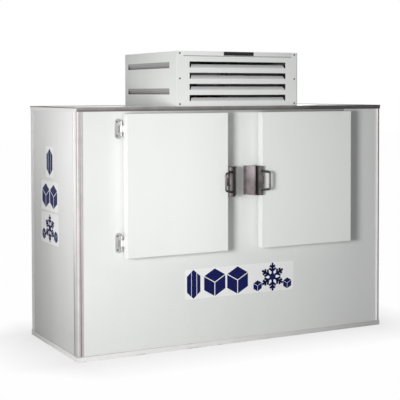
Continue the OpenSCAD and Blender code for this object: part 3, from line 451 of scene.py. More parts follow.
# the lower band is painted darker than the upper one, as painted shade
stain(rail_metal, times(under(z, high.z - 0.015), 0.55), (0.10, 0.095, 0.095))
# the rail is painted darker towards the right, as painted shade
painted_shade_to_right = plus(spread(x, -0.9, 0.4, 0.0, 0.40), spread(x, 0.40, 0.60, 0.0, 0.48))
stain(rail_metal, painted_shade_to_right, (0.050, 0.045, 0.048))
# the left end is painted pale as painted light; only its top arris is left dark
painted_light_end = tint(over(z, high.z - 0.007), (0.84, 0.83, 0.81), (0.24, 0.22, 0.22))
stain(rail_metal, under(x, low.x + 0.0012), painted_light_end)
eased("top_rail", rail_metal, 0.0006)

# ---------------------------------------------------------------------------
# Lining. The walls, ceiling and floor pan of the cold space are galvanised sheet with a faint spangle, and
# the foam behind them is never seen except at its cut edges.
spangle, given, result = new_group("zinc_spangle", Zinc=(0.62, 0.64, 0.65), Cells=70.0, Contrast=0.25,
                                   Gloss=0.34)
here = place_on(spangle)
crystals = put(spangle, "ShaderNodeTexVoronoi", Vector=here, Scale=given["Cells"]).outputs["Color"]
facet = put(spangle, "ShaderNodeSeparateColor", Color=crystals).outputs[0]
mottled = times(plus(facet, spread(noise(here, 3.2, 5.0, 0.6), 0.40, 0.70)), given["Contrast"])
wire(result["Colour"], tint(mottled, given["Zinc"], (0.36, 0.38, 0.40)))
wire(result["Roughness"], plus(given["Gloss"], times(facet, 0.14)))
wire(result["Normal"], relief(noise(here, 22.0, 3.0), 0.0006, 0.5))

liner_zinc = finish("liner_zinc", spangle, Zinc=(0.70, 0.72, 0.73), Cells=60.0, Contrast=0.22, Gloss=0.33,
                    Metallic=0.8)
paint_cad(liner_zinc, "inner_liner", "floor_pan")

foam_fill = finish("poured_foam", Roughness=0.9)
here = place_on(foam_fill)
pores = put(foam_fill.node_tree, "ShaderNodeTexVoronoi", Vector=here, Scale=420.0).outputs["Distance"]
wire(shader_of(foam_fill)["Base Color"], tint(noise(here, 18.0, 4.0), (0.86, 0.76, 0.50), (0.74, 0.62, 0.36)))
wire(shader_of(foam_fill)["Normal"], relief(pores, 0.0008))
paint_cad(foam_fill, "floor_insulation", "wall_insulation", "front_insulation", "roof_insulation",
          "roof_plug")
for side in ("left", "right"):
    node = side + "_door_insulation"
    shell = joined(node)
    low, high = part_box(node)
    middle, reach = (low + high) / 2, (high - low) / 2
    flange, draft, tray_deep = 0.03, 0.005, 0.006
    for vertex in shell.verts:
        vertex.co.y = min(vertex.co.y, high.y - tray_deep)
        # the raised part keeps clear of the door back's drafted sides
        out = vertex.co - middle
        if abs(out.x) < reach.x - flange and abs(out.z) < reach.z - flange:
            vertex.co.x -= math.copysign(draft, out.x)
            vertex.co.z -= math.copysign(draft, out.z)
    make_piece(shell, side + "_door_foam", foam_fill, node)

# ---------------------------------------------------------------------------
# Door frames. White moulded plastic frames line the two doorways in the front panel, and carry the flange
# that the gaskets meet.
moulded, given, result = new_group("moulded_plastic", Plastic=(0.8, 0.8, 0.8), Grain=0.0001, Scuff=0.1,
                                   Gloss=0.42)
here = place_on(moulded)
scuffs = spread(noise(here, 26.0, 5.0, 0.7), 0.52, 0.74)
wire(result["Colour"], tint(times(scuffs, given["Scuff"]), given["Plastic"], (0.45, 0.44, 0.43)))
wire(result["Roughness"], plus(given["Gloss"], times(scuffs, 0.15)))
wire(result["Normal"], relief(noise(here, 900.0, 2.0), given["Grain"], 0.8))

jamb_white = finish("jamb_plastic", moulded, Plastic=(0.82, 0.83, 0.82), Scuff=0.18, Gloss=0.46)
for side in ("left", "right"):
    eased(side + "_door_frame", jamb_white, 0.0006)

# ---------------------------------------------------------------------------
# Hinges. Plated castings: a long round-ended leaf on the cabinet with two lugs, a pin with pressed heads, and
# a brighter leaf on the door's edge with the middle knuckle.
cast, given, result = new_group("plated_casting", Metal=(0.6, 0.6, 0.6), Grime=(0.12, 0.11, 0.10), Dirt=0.2,
                                Ripple=0.0003, Gloss=0.2)
here = place_on(cast)
specks = spread(noise(here, 130.0, 5.0, 0.72), 0.50, 0.74)
patches = spread(noise(here, 21.0, 3.0), 0.40, 0.72)
soiled = calc("MULTIPLY", plus(times(specks, 0.7), patches), given["Dirt"], clamp=True)
wire(result["Colour"], tint(soiled, given["Metal"], given["Grime"]))
wire(result["Roughness"], plus(given["Gloss"], times(soiled, 0.5)))
wire(result["Normal"], relief(noise(here, 60.0, 3.0), given["Ripple"], 0.7))

hinge_chrome = finish("hinge_chrome", cast, Metal=(0.52, 0.52, 0.51), Dirt=0.35, Gloss=0.30, Metallic=0.4)
eased("hinge_frame_leaves", hinge_chrome, 0.0010, 3)
eased("hinge_pins", hinge_chrome, 0.0008)
# the door's leaves are a paler copy of the plating, as painted light on the knuckles
lit_leaf_chrome = finish("lit_leaf_chrome", cast, Metal=(0.85, 0.85, 0.84), Dirt=0.12, Gloss=0.30, Metallic=0.1)
for side in ("left", "right"):
    eased(side + "_hinge_leaves", lit_leaf_chrome, 0.0009)


# ---------------------------------------------------------------------------
# Doors. Each door is a deep enamelled pan with folded, rounded front edges, filled with foam and closed by
# a moulded back whose raised part enters the doorway; a folded gasket runs round that part.
def ring_of(x0, x1, z0, z1, radius, y, steps=4):
    """A rounded rectangle of points across the cabinet, at one depth."""
    points = []
    for cx, cz, start in ((x1 - radius, z1 - radius, 0), (x0 + radius, z1 - radius, 90),
                          (x0 + radius, z0 + radius, 180), (x1 - radius, z0 + radius, 270)):
        for k in range(steps + 1):
            turn = math.radians(start + 90 * k / steps)
            points.append(Vector((cx + radius * math.cos(turn), y, cz + radius * math.sin(turn))))
    return points


def insets(low, high, sizes, radius, steps=4):
    """Rings within a box's outline, one for each inset and depth; no corner is sharper than 1.2 mm."""
    return [ring_of(low.x + inset, high.x - inset, low.z + inset, high.z - inset, max(radius - inset, 0.0012),
                    depth, steps) for inset, depth in sizes]


def loft(shell, rings, wrap=False):
    """Skins a row of rings, and closes its two ends, or joins the last ring to the first."""
    made = [[shell.verts.new(point) for point in ring] for ring in rings]
    count = len(made[0])
    for a, b in zip(made, made[1:] + made[:1] if wrap else made[1:]):
        for k in range(count):
            shell.faces.new((a[k], a[(k + 1) % count], b[(k + 1) % count], b[k]))
    if not wrap:
        shell.faces.new(made[0])
        shell.faces.new(made[-1])
    bmesh.ops.recalc_face_normals(shell, faces=shell.faces)


def quarter(radius, steps=5):
    """How far a rounded edge has come in and gone down, from its side to its face."""
    turns = [math.radians(90 * k / steps) for k in range(steps + 1)]
    return [(radius - radius * math.cos(t), radius - radius * math.sin(t)) for t in turns]


door_white = finish("door_enamel", enamel, Paint=(0.965, 0.985, 0.958), Cloudiness=0.02, Peel=0.00035,
                    Gloss=0.27, Coat_Weight=0.22, Coat_Roughness=0.10)
# the doors' left sides are painted darker than their faces as painted shade, most of all next to the gasket,
# and the left door darker towards its hinge
x, y, z = axes_on(door_white)
edges = [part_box(side + "_door_skin")[0].x for side in ("left", "right")]
door_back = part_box("left_door_skin")[1].y
on_side = plus(*[between(x, edge - 0.001, edge + 0.0056) for edge in edges])
painted_side_shade = times(on_side, spread(y, door_back - 0.018, door_back - 0.010, 0.28, 0.50))
stain(door_white, greater(painted_side_shade, spread(x, edges[0], edges[0] + 0.43, 0.12, 0.0)), 0.25)
liner_white = finish("door_back_plastic", moulded, Plastic=(0.80, 0.82, 0.82), Scuff=0.22, Gloss=0.38)
gasket_rubber = finish("gasket_rubber", moulded, Plastic=(0.12, 0.12, 0.125), Scuff=0.35, Gloss=0.58,
                       Specular_IOR_Level=0.35)

sheet, fold_radius, flat = 0.0015, 0.005, 0.004
foot_in, draft, soft = 0.0545, 0.0035, 0.008
tray_in, tray_slope, tray_deep = 0.085, 0.006, 0.005
seal_wide = 0.020
for side in ("left", "right"):
    node = side + "_door_skin"
    low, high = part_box(node)
    # a last ring on the flat keeps the shading of the large face even
    front = quarter(fold_radius) + [(fold_radius + flat, 0)]
    inner = [(sheet + inset, low.y + sheet + deep) for inset, deep in reversed(front)]
    outer = [(inset, low.y + deep) for inset, deep in front]
    shell = bmesh.new()
    loft(shell, insets(low, high, inner + [(sheet, high.y), (0, high.y)] + outer, 0.004))
    make_piece(shell, side + "_door_pan", door_white, node, 40)

    node = side + "_door_liner"
    low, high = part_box(node)
    face = low.y + sheet
    # from the flange's edge up the drafted side, over a soft rim and down into the shallow tray
    raised = [(foot_in, face), (foot_in + 0.0022, face + 0.0012), (foot_in + 0.0030, face + 0.004)]
    raised += [(foot_in + draft + inset, high.y - deep) for inset, deep in quarter(soft)]
    raised += [(tray_in + tray_slope * t, high.y - tray_deep * (3 * t * t - 2 * t ** 3))
               for t in (0, 0.25, 0.5, 0.75, 1)]
    raised += [(tray_in + tray_slope + flat, high.y - tray_deep)]
    shell = bmesh.new()
    loft(shell, insets(low, high, [(0, low.y), (0, face)], 0.004, 8) + insets(low, high, raised, 0.075, 8))
    make_piece(shell, side + "_door_back", liner_white, node, 40)

    node = side + "_door_gasket"
    low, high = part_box(node)
    # how far the gasket's outer skin folds in, at shares of its depth
    folds = [(0, 0), (0, 0.12), (0.0032, 0.30), (0.0004, 0.48), (0.0032, 0.66), (0, 0.80), (0, 1)]
    outer = [(across, low.y + (high.y - low.y) * share) for across, share in folds]
    inner = [(seal_wide - across, depth) for across, depth in reversed(outer)]
    shell = bmesh.new()
    loft(shell, insets(low, high, outer + inner, 0.0, 1), wrap=True)
    make_piece(shell, side + "_door_seal", gasket_rubber, node, 30)


# ---------------------------------------------------------------------------
# Latches. A dark plated housing beside each door holds the pull's pin and the bolt; the bolt's nose rests
# before the hollow wedge on the cabinet. The pull is a bent bar that a spring returns.
def round_path(points, bend, steps=6):
    """A path through points with its corners bent to a radius."""
    path = [points[0]]
    for before, at, after in zip(points, points[1:], points[2:]):
        back, forth = (before - at).normalized(), (after - at).normalized()
        half_turn = back.angle(forth) / 2
        centre = at + (back + forth).normalized() * bend / math.sin(half_turn)
        first = (at + back * bend / math.tan(half_turn) - centre).normalized()
        last = (at + forth * bend / math.tan(half_turn) - centre).normalized()
        path += [centre + first.slerp(last, k / steps) * bend for k in range(steps + 1)]
    return path + [points[-1]]


def sweep(shell, path, radius, sides, closed=False):
    """Adds a round bar along a path."""
    rings = []
    count = len(path)
    across = None
    for k, point in enumerate(path):
        before = path[k - 1] if k or closed else path[0]
        after = path[(k + 1) % count] if k < count - 1 or closed else path[-1]
        along = (after - before).normalized()
        if across is None:
            across = along.orthogonal().normalized()
        across = (across - along * across.dot(along)).normalized()
        other = along.cross(across)
        turns = [math.tau * j / sides for j in range(sides)]
        rings.append([point + (across * math.cos(t) + other * math.sin(t)) * radius for t in turns])
    loft(shell, rings, wrap=closed)


def lathe(shell, profile, centre, axis, steps=32):
    """Adds a turned solid: pairs of radius and distance along the axis, from end to end."""
    centre, axis = Vector(centre), Vector(axis).normalized()
    across = axis.orthogonal().normalized()
    other = axis.cross(across)
    turns = [math.tau * j / steps for j in range(steps)]
    loft(shell, [[centre + axis * far + (across * math.cos(t) + other * math.sin(t)) * radius
                  for t in turns] for radius, far in profile])


def spool(half_profile):
    """A turned profile that is the same at both ends, from its outer end to its middle."""
    return [(radius, -far) for radius, far in half_profile] + half_profile[::-1]


joints = record["behaviour"]["joints"]
joint_at = {joint["name"]: Vector(joint["pos_m"]) for joint in joints if "pos_m" in joint}
pivot_height = joint_at["left_pull_pivot"].z

latch_metal = finish("latch_plate", cast, Metal=(0.185, 0.160, 0.162), Grime=(0.03, 0.026, 0.026), Dirt=0.55,
                     Gloss=0.40, Metallic=0.25, Specular_IOR_Level=0.35)
# painted shade darkens the corner next to the strike
x, y, z = axes_on(latch_metal)
left_end, right_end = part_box("left_latch_body")[1].x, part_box("right_latch_body")[0].x
painted_gap_shade = times(spread(x, left_end - 0.030, left_end - 0.020), spread(x, right_end + 0.010, right_end + 0.004))
stain(latch_metal, painted_gap_shade, (0.012, 0.010, 0.010))
strike_metal = finish("strike_plate", cast, Metal=(0.27, 0.235, 0.24), Grime=(0.07, 0.06, 0.06), Dirt=0.50,
                      Ripple=0.0004, Gloss=0.42, Metallic=0.2, Specular_IOR_Level=0.3)
# a painted highlight brightens the upper half of the plates beside the wedge
x, y, z = axes_on(strike_metal)
painted_highlight = times(spread(z, pivot_height - 0.013, pivot_height + 0.057), spread(size_of(x), 0.040, 0.075))
stain(strike_metal, times(painted_highlight, 0.8), (0.56, 0.50, 0.53))
pull_metal = finish("pull_bar", cast, Metal=(0.16, 0.155, 0.15), Grime=(0.05, 0.045, 0.04), Dirt=0.30,
                    Ripple=0.0002, Gloss=0.38, Metallic=0.4, Specular_IOR_Level=0.4)
# painted shade darkens the plate on the two arms
x, y, z = axes_on(pull_metal)
painted_arm_shade = spread(size_of(minus(z, pivot_height)), 0.050, 0.060)
stain(pull_metal, times(painted_arm_shade, 0.9), (0.02, 0.018, 0.018))

pull_reach, pull_high, taper = 0.0685, 0.068, 0.011
bar, bend, lean = 0.0080, 0.016, math.radians(27)
finger_half, finger_high, finger_from, finger_to = 0.002, 0.005, 0.005, 0.030
for side, sign in (("left", -1), ("right", 1)):
    eased(side + "_latch_body", latch_metal, 0.0010, 3)
    eased(side + "_strike", strike_metal, 0.0022, 3)
    eased(side + "_bolt", hinge_chrome, 0.0008)
    pivot = joint_at[side + "_pull_pivot"]
    outward = Vector((sign * math.cos(lean), -math.sin(lean), 0))
    root, tip = Vector((0, 0, pull_high)), Vector((0, 0, pull_high - taper))
    grip = pivot + outward * pull_reach
    shell = bmesh.new()
    sweep(shell, round_path([pivot + root, grip + tip, grip - tip, pivot - root], bend), bar, 14)
    lathe(shell, spool([(0.0036, 0.0755), (0.0062, 0.0755), (0.007, 0.0747)]), pivot, (0, 0, 1), 24)
    # the finger that draws the bolt, and the pin at its end
    finger = [(-finger_half, finger_from), (finger_half, finger_from), (finger_half, finger_to),
              (-finger_half, finger_to)]
    loft(shell, [[pivot + Vector((across, back, up)) for across, back in finger]
                 for up in (-finger_high, finger_high)])
    lathe(shell, spool([(0.0026, 0.005), (0.003, 0.0046)]), pivot + Vector((0, finger_to, 0)), (0, 0, 1), 16)
    make_piece(shell, side + "_pull", pull_metal, side + "_handle", 40)

# ---------------------------------------------------------------------------
# Roof unit. A box of enamelled sheet on the roof: pierced panels with inward louvres, a lid whose lip laps
# over the front, and a blank black plate on the lip.
case_low, case_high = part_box("unit_front_panel")[0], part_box("unit_back_panel")[1]
unit_sheet = 0.0015


def unit_enamel(name, paint, painted_rear_shade):
    """White enamel with painted shade: near black on a sheet's inner face, and darker towards the rear."""
    made = finish(name, enamel, Paint=paint, Gloss=0.36, Coat_Weight=0.1)
    x, y, z = axes_on(made)
    skin = 0.001
    painted_inner_shade = times(between(x, case_low.x + skin, case_high.x - skin),
                   between(y, case_low.y + skin, case_high.y - skin), under(z, case_high.z - skin))
    stain(made, spread(y, -0.25, 0.40, 0.0, painted_rear_shade), 0.25)
    # the arris at the right is in the dark
    stain(made, times(over(x, case_high.x - 0.004), 0.75), 0.06)
    stain(made, painted_inner_shade, (0.025, 0.025, 0.026))
    return made


def geometry_tree(name, **inputs):
    """An empty geometry node tree with its input values, and its output's sockets."""
    tree = bpy.data.node_groups.new(name, "GeometryNodeTree")
    for label, kind in {"Geometry": "Geometry", **inputs, "Finish": "Material"}.items():
        tree.interface.new_socket(label, in_out="INPUT", socket_type="NodeSocket" + kind)
    tree.interface.new_socket("Geometry", in_out="OUTPUT", socket_type="NodeSocketGeometry")
    return tree, put(tree, "NodeGroupInput").outputs, put(tree, "NodeGroupOutput").inputs


def end_tree(given, result, instances):
    """Makes the instances plain geometry with the chosen finish."""
    tree = instances.id_data
    real = put(tree, "GeometryNodeRealizeInstances", Geometry=instances.outputs[0]).outputs[0]
    finished = put(tree, "GeometryNodeSetMaterial", Geometry=real, Material=given["Finish"])
    wire(result["Geometry"], finished.outputs[0])


def grow(shell, name, tree, node, smooth_under=32, **sizes):
    """Runs a geometry tree on a bmesh and keeps what comes out as a piece that stands for a CAD node."""
    host = as_object(shell, name, smooth_under)
    growth = host.modifiers.new("growth", "NODES")
    growth.node_group = tree
    for socket in tree.interface.items_tree:
        if socket.in_out == "INPUT" and socket.name in sizes:
            growth[socket.identifier] = sizes[socket.name]
    bpy.context.view_layer.update()
    grown = bpy.data.meshes.new_from_object(host.evaluated_get(bpy.context.evaluated_depsgraph_get()))
    host.modifiers.clear()
    host.data = grown
    return settle(host, node)


rack, given, result = geometry_tree("rack", Count="Int", Step="Vector")
line = put(rack, "GeometryNodeMeshLine", Count=given["Count"], Offset=given["Step"])
row = put(rack, "GeometryNodeInstanceOnPoints", Points=line.outputs[0], Instance=given["Geometry"])
end_tree(given, result, row)


def pierced_sheet(name, material, node, place, wide, high, holes):
    """A sheet with openings, cut along lines across and up; place turns it into the model's space."""
    shell = bmesh.new()
    ups = sorted({z for hole in holes for z in hole[2:]} | set(high))
    acrosses = sorted({x for hole in holes for x in hole[:2]} | set(wide))
    cut = {(x, z): shell.verts.new(place(x, z)) for x in acrosses for z in ups}
    for x0, x1 in zip(acrosses, acrosses[1:]):
        for z0, z1 in zip(ups, ups[1:]):
            if not any(h[0] <= x0 and x1 <= h[1] and h[2] <= z0 and z1 <= h[3] for h in holes):
                shell.faces.new((cut[x0, z0], cut[x1, z0], cut[x1, z1], cut[x0, z1]))
    bmesh.ops.delete(shell, geom=[v for v in shell.verts if not v.link_faces], context="VERTS")
    bmesh.ops.dissolve_limit(shell, angle_limit=0.01, verts=shell.verts, edges=shell.edges)
    piece = make_piece(shell, name, material, node)
    wall = piece.modifiers.new("sheet_thickness", "SOLIDIFY")
    wall.thickness = unit_sheet
    wall.offset = -1
    return ease(piece, 0.0003)


def louvre_blade(place, wide, rise=0.0228, slants=(0.65, 0.22), shorts=(0.008, 0.008)):
    """One bent blade that leans inwards from a slot's edge; place turns it into the model's space."""
    shell = bmesh.new()
    deep, thick, turns = 0.0200, 0.0014, 6
    curve = [(deep * (k / turns) ** 1.15, rise * (k / turns)) for k in range(turns + 1)]
    outline = curve + [(y + thick, z) for y, z in reversed(curve)]
    loft(shell, [[place(way * (wide / 2 - short - slant * z), y, z) for y, z in outline]
                 for way, slant, short in zip((-1, 1), slants, shorts)])
    return shell


unit_white = unit_enamel("unit_enamel", (0.925, 0.94, 0.92), 0.0)
# the unit's ends and the louvre blades are darker copies of the same enamel, as painted shade, the side
# blades darkest
unit_side_white = unit_enamel("unit_side_enamel", (0.76, 0.775, 0.76), 0.22)
blade_shade = finish("louvre_enamel", enamel, Paint=(0.79, 0.785, 0.80), Cloudiness=0.10, Gloss=0.45)
side_blade_shade = finish("side_louvre_enamel", enamel, Paint=(0.36, 0.345, 0.35), Cloudiness=0.12,
                          Gloss=0.45)
slot_half, slot_high, slot_pitch, slot_top = 0.3785, 0.041, 0.0750, 0.070


def slots_at(left, right, feet):
    """Openings of one length, one over another."""
    return [(left, right, foot, foot + slot_high) for foot in feet]


low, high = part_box("unit_front_panel")
front_slots = [high.z + unit_sheet - slot_top - slot_high - n * slot_pitch for n in range(4)]
pierced_sheet("unit_front_sheet", unit_white, "unit_front_panel", lambda x, z: Vector((x, case_low.y, z)),
              (low.x, high.x), (low.z, high.z), slots_at(-slot_half, slot_half, front_slots))
grow(louvre_blade(lambda x, y, z: Vector((x, case_low.y + y, front_slots[3] + z)), 2 * slot_half),
     "front_louvres", rack, "unit_front_panel", Count=4, Step=(0, 0, slot_pitch), Finish=blade_shade)

side_half, side_shift, side_pitch, side_top = 0.344, 0.026, 0.178, 0.072
for side, sign in (("left", -1), ("right", 1)):
    node = "unit_" + side + "_panel"
    low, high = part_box(node)
    outer_x = low.x if sign < 0 else high.x
    side_slots = [high.z + unit_sheet - side_top - slot_high - n * side_pitch for n in range(2)]
    middle = (low.y + high.y) / 2 + side_shift
    slot = sorted((sign * (middle - side_half), sign * (middle + side_half)))
    pierced_sheet("unit_" + side + "_sheet", unit_side_white, node,
                  lambda y, z: Vector((outer_x, sign * y, z)), sorted((sign * low.y, sign * high.y)),
                  (low.z, high.z), slots_at(*slot, side_slots))
    grow(louvre_blade(lambda x, y, z: Vector((outer_x - sign * y, middle + x, side_slots[1] + slot_high - z)),
                      2 * side_half, 0.0385, (0.0, 0.0), (0.001, -0.012)),
         side + "_louvres", rack, node, Count=2, Step=(0, 0, side_pitch), Finish=side_blade_shade)

low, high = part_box("unit_back_panel")
back_slots = [z + slot_pitch / 2 for z in front_slots[1:]]
pierced_sheet("unit_back_sheet", unit_white, "unit_back_panel", lambda x, z: Vector((-x, high.y, z)),
              (low.x, high.x), (low.z, high.z), slots_at(-slot_half, slot_half, back_slots))
grow(louvre_blade(lambda x, y, z: Vector((-x, high.y - y, back_slots[2] + z)), 2 * slot_half),
     "back_louvres", rack, "unit_back_panel", Count=3, Step=(0, 0, slot_pitch), Finish=blade_shade)

lid_white = finish("lid_enamel", enamel, Paint=(0.96, 0.97, 0.955), Gloss=0.36, Coat_Weight=0.1)
x, y, z = axes_on(lid_white)
# the lid is painted darker towards the right, as painted shade
stain(lid_white, spread(x, -0.2, 0.45, 0.0, 0.20), 0.25)
# the lip's lower arris is in its own shade
stain(lid_white, under(z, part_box("unit_lid")[0].z + 0.004), 0.20)
eased("unit_lid", lid_white, 0.0005)

plate_black = finish("blank_plate", Specular_IOR_Level=0.25)
x, y, z = axes_on(plate_black)
low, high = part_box("unit_plate")
rim = 0.0022
inside = times(between(x, low.x + rim, high.x - rim), between(z, low.z + rim, high.z - rim))
fine = noise(place_on(plate_black), 240.0, 3.0)
wire(shader_of(plate_black)["Base Color"], tint(inside, 0.12, tint(fine, 0.006, (0.018, 0.017, 0.018))))
wire(shader_of(plate_black)["Roughness"], spread(fine, 0.3, 0.7, 0.26, 0.42))
eased("unit_plate", plate_black, 0.0004)
paint_cad(liner_zinc, "unit_base")

# ---------------------------------------------------------------------------
# Screws. Zinc-plated pan heads with a cross recess hold the unit's panels, the hinge leaves and the strikes.
# Each is turned by chance, as a fitter leaves it.
screw_zinc = finish("screw_zinc", cast, Metal=(0.20, 0.20, 0.21), Grime=(0.06, 0.055, 0.05), Dirt=0.45,
                    Ripple=0.0001, Gloss=0.34, Metallic=0.85)
head_radius, head_high, arm, half_arm, sunk = 0.007, 0.003, 0.0030, 0.0007, 0.0016
# the recess's twelve corners in turn, and their directions, in which the head's round rings have points too
cross = [(a * long, b * wide) for long, wide in ((arm, half_arm), (half_arm, arm), (half_arm, half_arm))
         for a in (-1, 1) for b in (-1, 1)]
cross.sort(key=lambda corner: math.atan2(corner[1], corner[0]) % math.tau)
around = [math.atan2(up, across) for across, up in cross]
shell = bmesh.new()
dome = [(head_radius, 0), (head_radius, 0.0007), (head_radius * 0.86, 0.0021),
        (head_radius * 0.64, head_high)]
rings = [[Vector((radius * math.cos(t), radius * math.sin(t), up)) for t in around] for radius, up in dome]
rings += [[Vector((*corner, up)) for corner in cross] for up in (head_high, head_high - sunk)]
loft(shell, rings)
screw_head = as_object(shell, "screw_head", 40)

studs, given, result = geometry_tree("studs", Head="Object", Seed="Int")
model = put(studs, "GeometryNodeObjectInfo", Object=given["Head"])
facing = put(studs, "GeometryNodeInputNamedAttribute", data_type="FLOAT_VECTOR", Name="facing")
upright = put(studs, "FunctionNodeAlignRotationToVector", axis="Z", Vector=facing.outputs["Attribute"])
any_turn = put(studs, "FunctionNodeRandomValue", data_type="FLOAT", Min=0.0, Max=1.57, Seed=given["Seed"])
twist = put(studs, "ShaderNodeCombineXYZ", Z=any_turn.outputs[1]).outputs[0]
spun = put(studs, "FunctionNodeRotateRotation", rotation_space="LOCAL", Rotation=upright.outputs[0],
           Rotate_By=put(studs, "FunctionNodeEulerToRotation", Euler=twist).outputs[0])
heads = put(studs, "GeometryNodeInstanceOnPoints", Points=given["Geometry"],
            Instance=model.outputs["Geometry"], Rotation=spun.outputs[0])
end_tree(given, result, heads)

plate_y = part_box("hinge_frame_leaves")[1].y - 0.005
unit_x, unit_heights = case_high.x - 0.024, (1.991, 1.8215, 1.650)
hinge_x, hinge_apart, hinge_rise = 0.9162, 0.371, 0.04488
hinge_heights = (pivot_height - hinge_apart, pivot_height + hinge_apart)
strike_x, strike_rise = 0.037, 0.066
# the place of each screw and the way that its head faces
places = [(Vector((sign * unit_x, y, up)), Vector((0, way, 0)))
          for y, way in ((case_low.y, -1), (case_high.y, 1)) for sign in (-1, 1) for up in unit_heights]
places += [(Vector((sign * hinge_x, plate_y, up + rise)), Vector((0, -1, 0)))
           for sign in (-1, 1) for up in hinge_heights for rise in (-hinge_rise, hinge_rise)]
places += [(Vector((sign * strike_x, plate_y, pivot_height + rise)), Vector((0, -1, 0)))
           for sign in (-1, 1) for rise in (-strike_rise, strike_rise)]
seats = bpy.data.meshes.new("screw_seats")
seats.from_pydata([place for place, way in places], [], [])
ways = seats.attributes.new("facing", "FLOAT_VECTOR", "POINT")
for entry, (place, way) in zip(ways.data, places):
    entry.vector = way
shell = bmesh.new()
shell.from_mesh(seats)
grow(shell, "panel_screw_heads", studs, "panel_screws", Head=screw_head, Seed=4, Finish=screw_zinc)
bpy.data.objects.remove(screw_head)

# ---------------------------------------------------------------------------
# Front and side graphics. Glossy navy vinyl on a clear white backing: ice cubes, an ice crystal and a snow
# crystal, all of them plain shapes of this cabinet's own.
navy_vinyl = finish("navy_vinyl", enamel, Paint=(0.0065, 0.010, 0.088), Cloudiness=0.0, Peel=0.0001,
                    Gloss=0.45, Specular_IOR_Level=0.12)
white_vinyl = finish("white_vinyl", enamel, Paint=0.985, Cloudiness=0.02, Peel=0.0001, Gloss=0.34)
vinyl_thick, backing_lift, vinyl_lift = 0.0001, 0.00002, 0.00014


def spoke(cx, cz, radius, turn):
    """A point at a distance and an angle from a centre."""
    return cx + radius * math.cos(math.radians(turn)), cz + radius * math.sin(math.radians(turn))


def cube_motif(cx, cz, radius):
    """An ice cube seen on its corner: three faces with a gap between them."""
    kept = 0.93
    ring = [spoke(cx, cz, radius, 30 + 60 * k) for k in range(6)]
    faces = []
    for k in (0, 2, 4):
        face = [ring[k], ring[k + 1], ring[(k + 2) % 6], (cx, cz)]
        mx, mz = sum(x for x, z in face) / 4, sum(z for x, z in face) / 4
        faces.append([(mx + (x - mx) * kept, mz + (z - mz) * kept) for x, z in face])
    return faces


def crystal_motif(cx, cz, wide, high):
    """A tall ice crystal of three long facets."""
    facets = (((-1, 0.55), (-1, -0.55), (-0.36, -0.86), (-0.36, 0.86)),
              ((-0.30, 0.89), (-0.30, -0.89), (0, -1), (0.42, -0.80), (0.42, 0.80), (0, 1)),
              ((0.50, 0.76), (0.50, -0.76), (1, -0.55), (1, 0.55)))
    return [[(cx + x * wide / 2, cz + z * high / 2) for x, z in facet] for facet in facets]


def snow_motif(cx, cz, radius):
    """A snow crystal: six arms, each with two pairs of twigs, round a hexagon."""
    bars = [[spoke(cx, cz, radius * 0.26, 60 * k) for k in range(6)]]
    thick = radius * 0.082
    # the arm itself and its twigs: where each starts on the arm, its length and its turn
    twigs = ((0.22, 0.78, 0), (0.42, 0.34, 55), (0.42, 0.34, -55), (0.66, 0.26, 55), (0.66, 0.26, -55))
    for arm_turn in range(30, 390, 60):
        for start, length, twig_turn in twigs:
            turn = arm_turn + twig_turn
            foot = spoke(cx, cz, radius * start, arm_turn)
            tip = spoke(*foot, radius * length, turn)
            bars.append([spoke(*foot, thick, turn + 90), spoke(*foot, thick, turn - 90),
                         spoke(*tip, thick, turn - 90), spoke(*tip, thick, turn + 90)])
    return bars


def card(x0, x1, z0, z1, radius):
    """A rounded rectangle as one shape."""
    return [[(point.x, point.z) for point in ring_of(x0, x1, z0, z1, radius, 0)]]


def on_front(x, z):
    """A point on the front panel."""
    return Vector((x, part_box("front_outer_skin")[0].y, z))


def on_left(y, z):
    """A point on the left end."""
    return Vector((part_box("left_outer_skin")[0].x, y, z))


def graphic(name, shapes, material, lift, node, place, outward):
    """Cuts shapes from vinyl and lays them on a panel, lift above it."""
    shell = bmesh.new()
    for shape in shapes:
        lower = [place(x, z) + outward * lift for x, z in shape]
        loft(shell, [lower, [point + outward * vinyl_thick for point in lower]])
    make_piece(shell, name, material, node, replace=False)


front = ("front_outer_skin", on_front, Vector((0, -1, 0)))
front_z, front_r, small_r, drop = 0.434, 0.0985, 0.040, 0.054
shapes = crystal_motif(-0.358, front_z, 0.102, 0.195)
shapes += cube_motif(-0.196, front_z, front_r) + cube_motif(-0.017, front_z, front_r)
shapes += snow_motif(0.2645, front_z, front_r)
shapes += cube_motif(0.143, front_z - drop, small_r) + cube_motif(0.386, front_z - drop, small_r)
graphic("front_backing", card(-0.425, 0.438, 0.332, 0.536, 0.02), white_vinyl, backing_lift, *front)
graphic("front_graphic", shapes, navy_vinyl, vinyl_lift, *front)

left_end = ("left_outer_skin", on_left, Vector((-1, 0, 0)))
side_y = 0.063
shapes = crystal_motif(side_y, 1.2575, 0.118, 0.180)
shapes += cube_motif(side_y - 0.077, 1.0255, 0.086) + cube_motif(side_y + 0.077, 1.0255, 0.086)
shapes += snow_motif(side_y, 0.806, 0.094)
shapes += cube_motif(side_y - 0.118, 0.758, 0.042) + cube_motif(side_y + 0.118, 0.758, 0.042)
graphic("side_graphic", shapes, navy_vinyl, vinyl_lift, *left_end)
cards = [(0.076, 1.152, 1.363), (0.168, 0.925, 1.126), (0.174, 0.700, 0.912)]
for number, (half_wide, z0, z1) in enumerate(cards, 1):
    graphic("side_backing_%d" % number, card(side_y - half_wide, side_y + half_wide, z0, z1, 0.015),
            white_vinyl, backing_lift, *left_end)

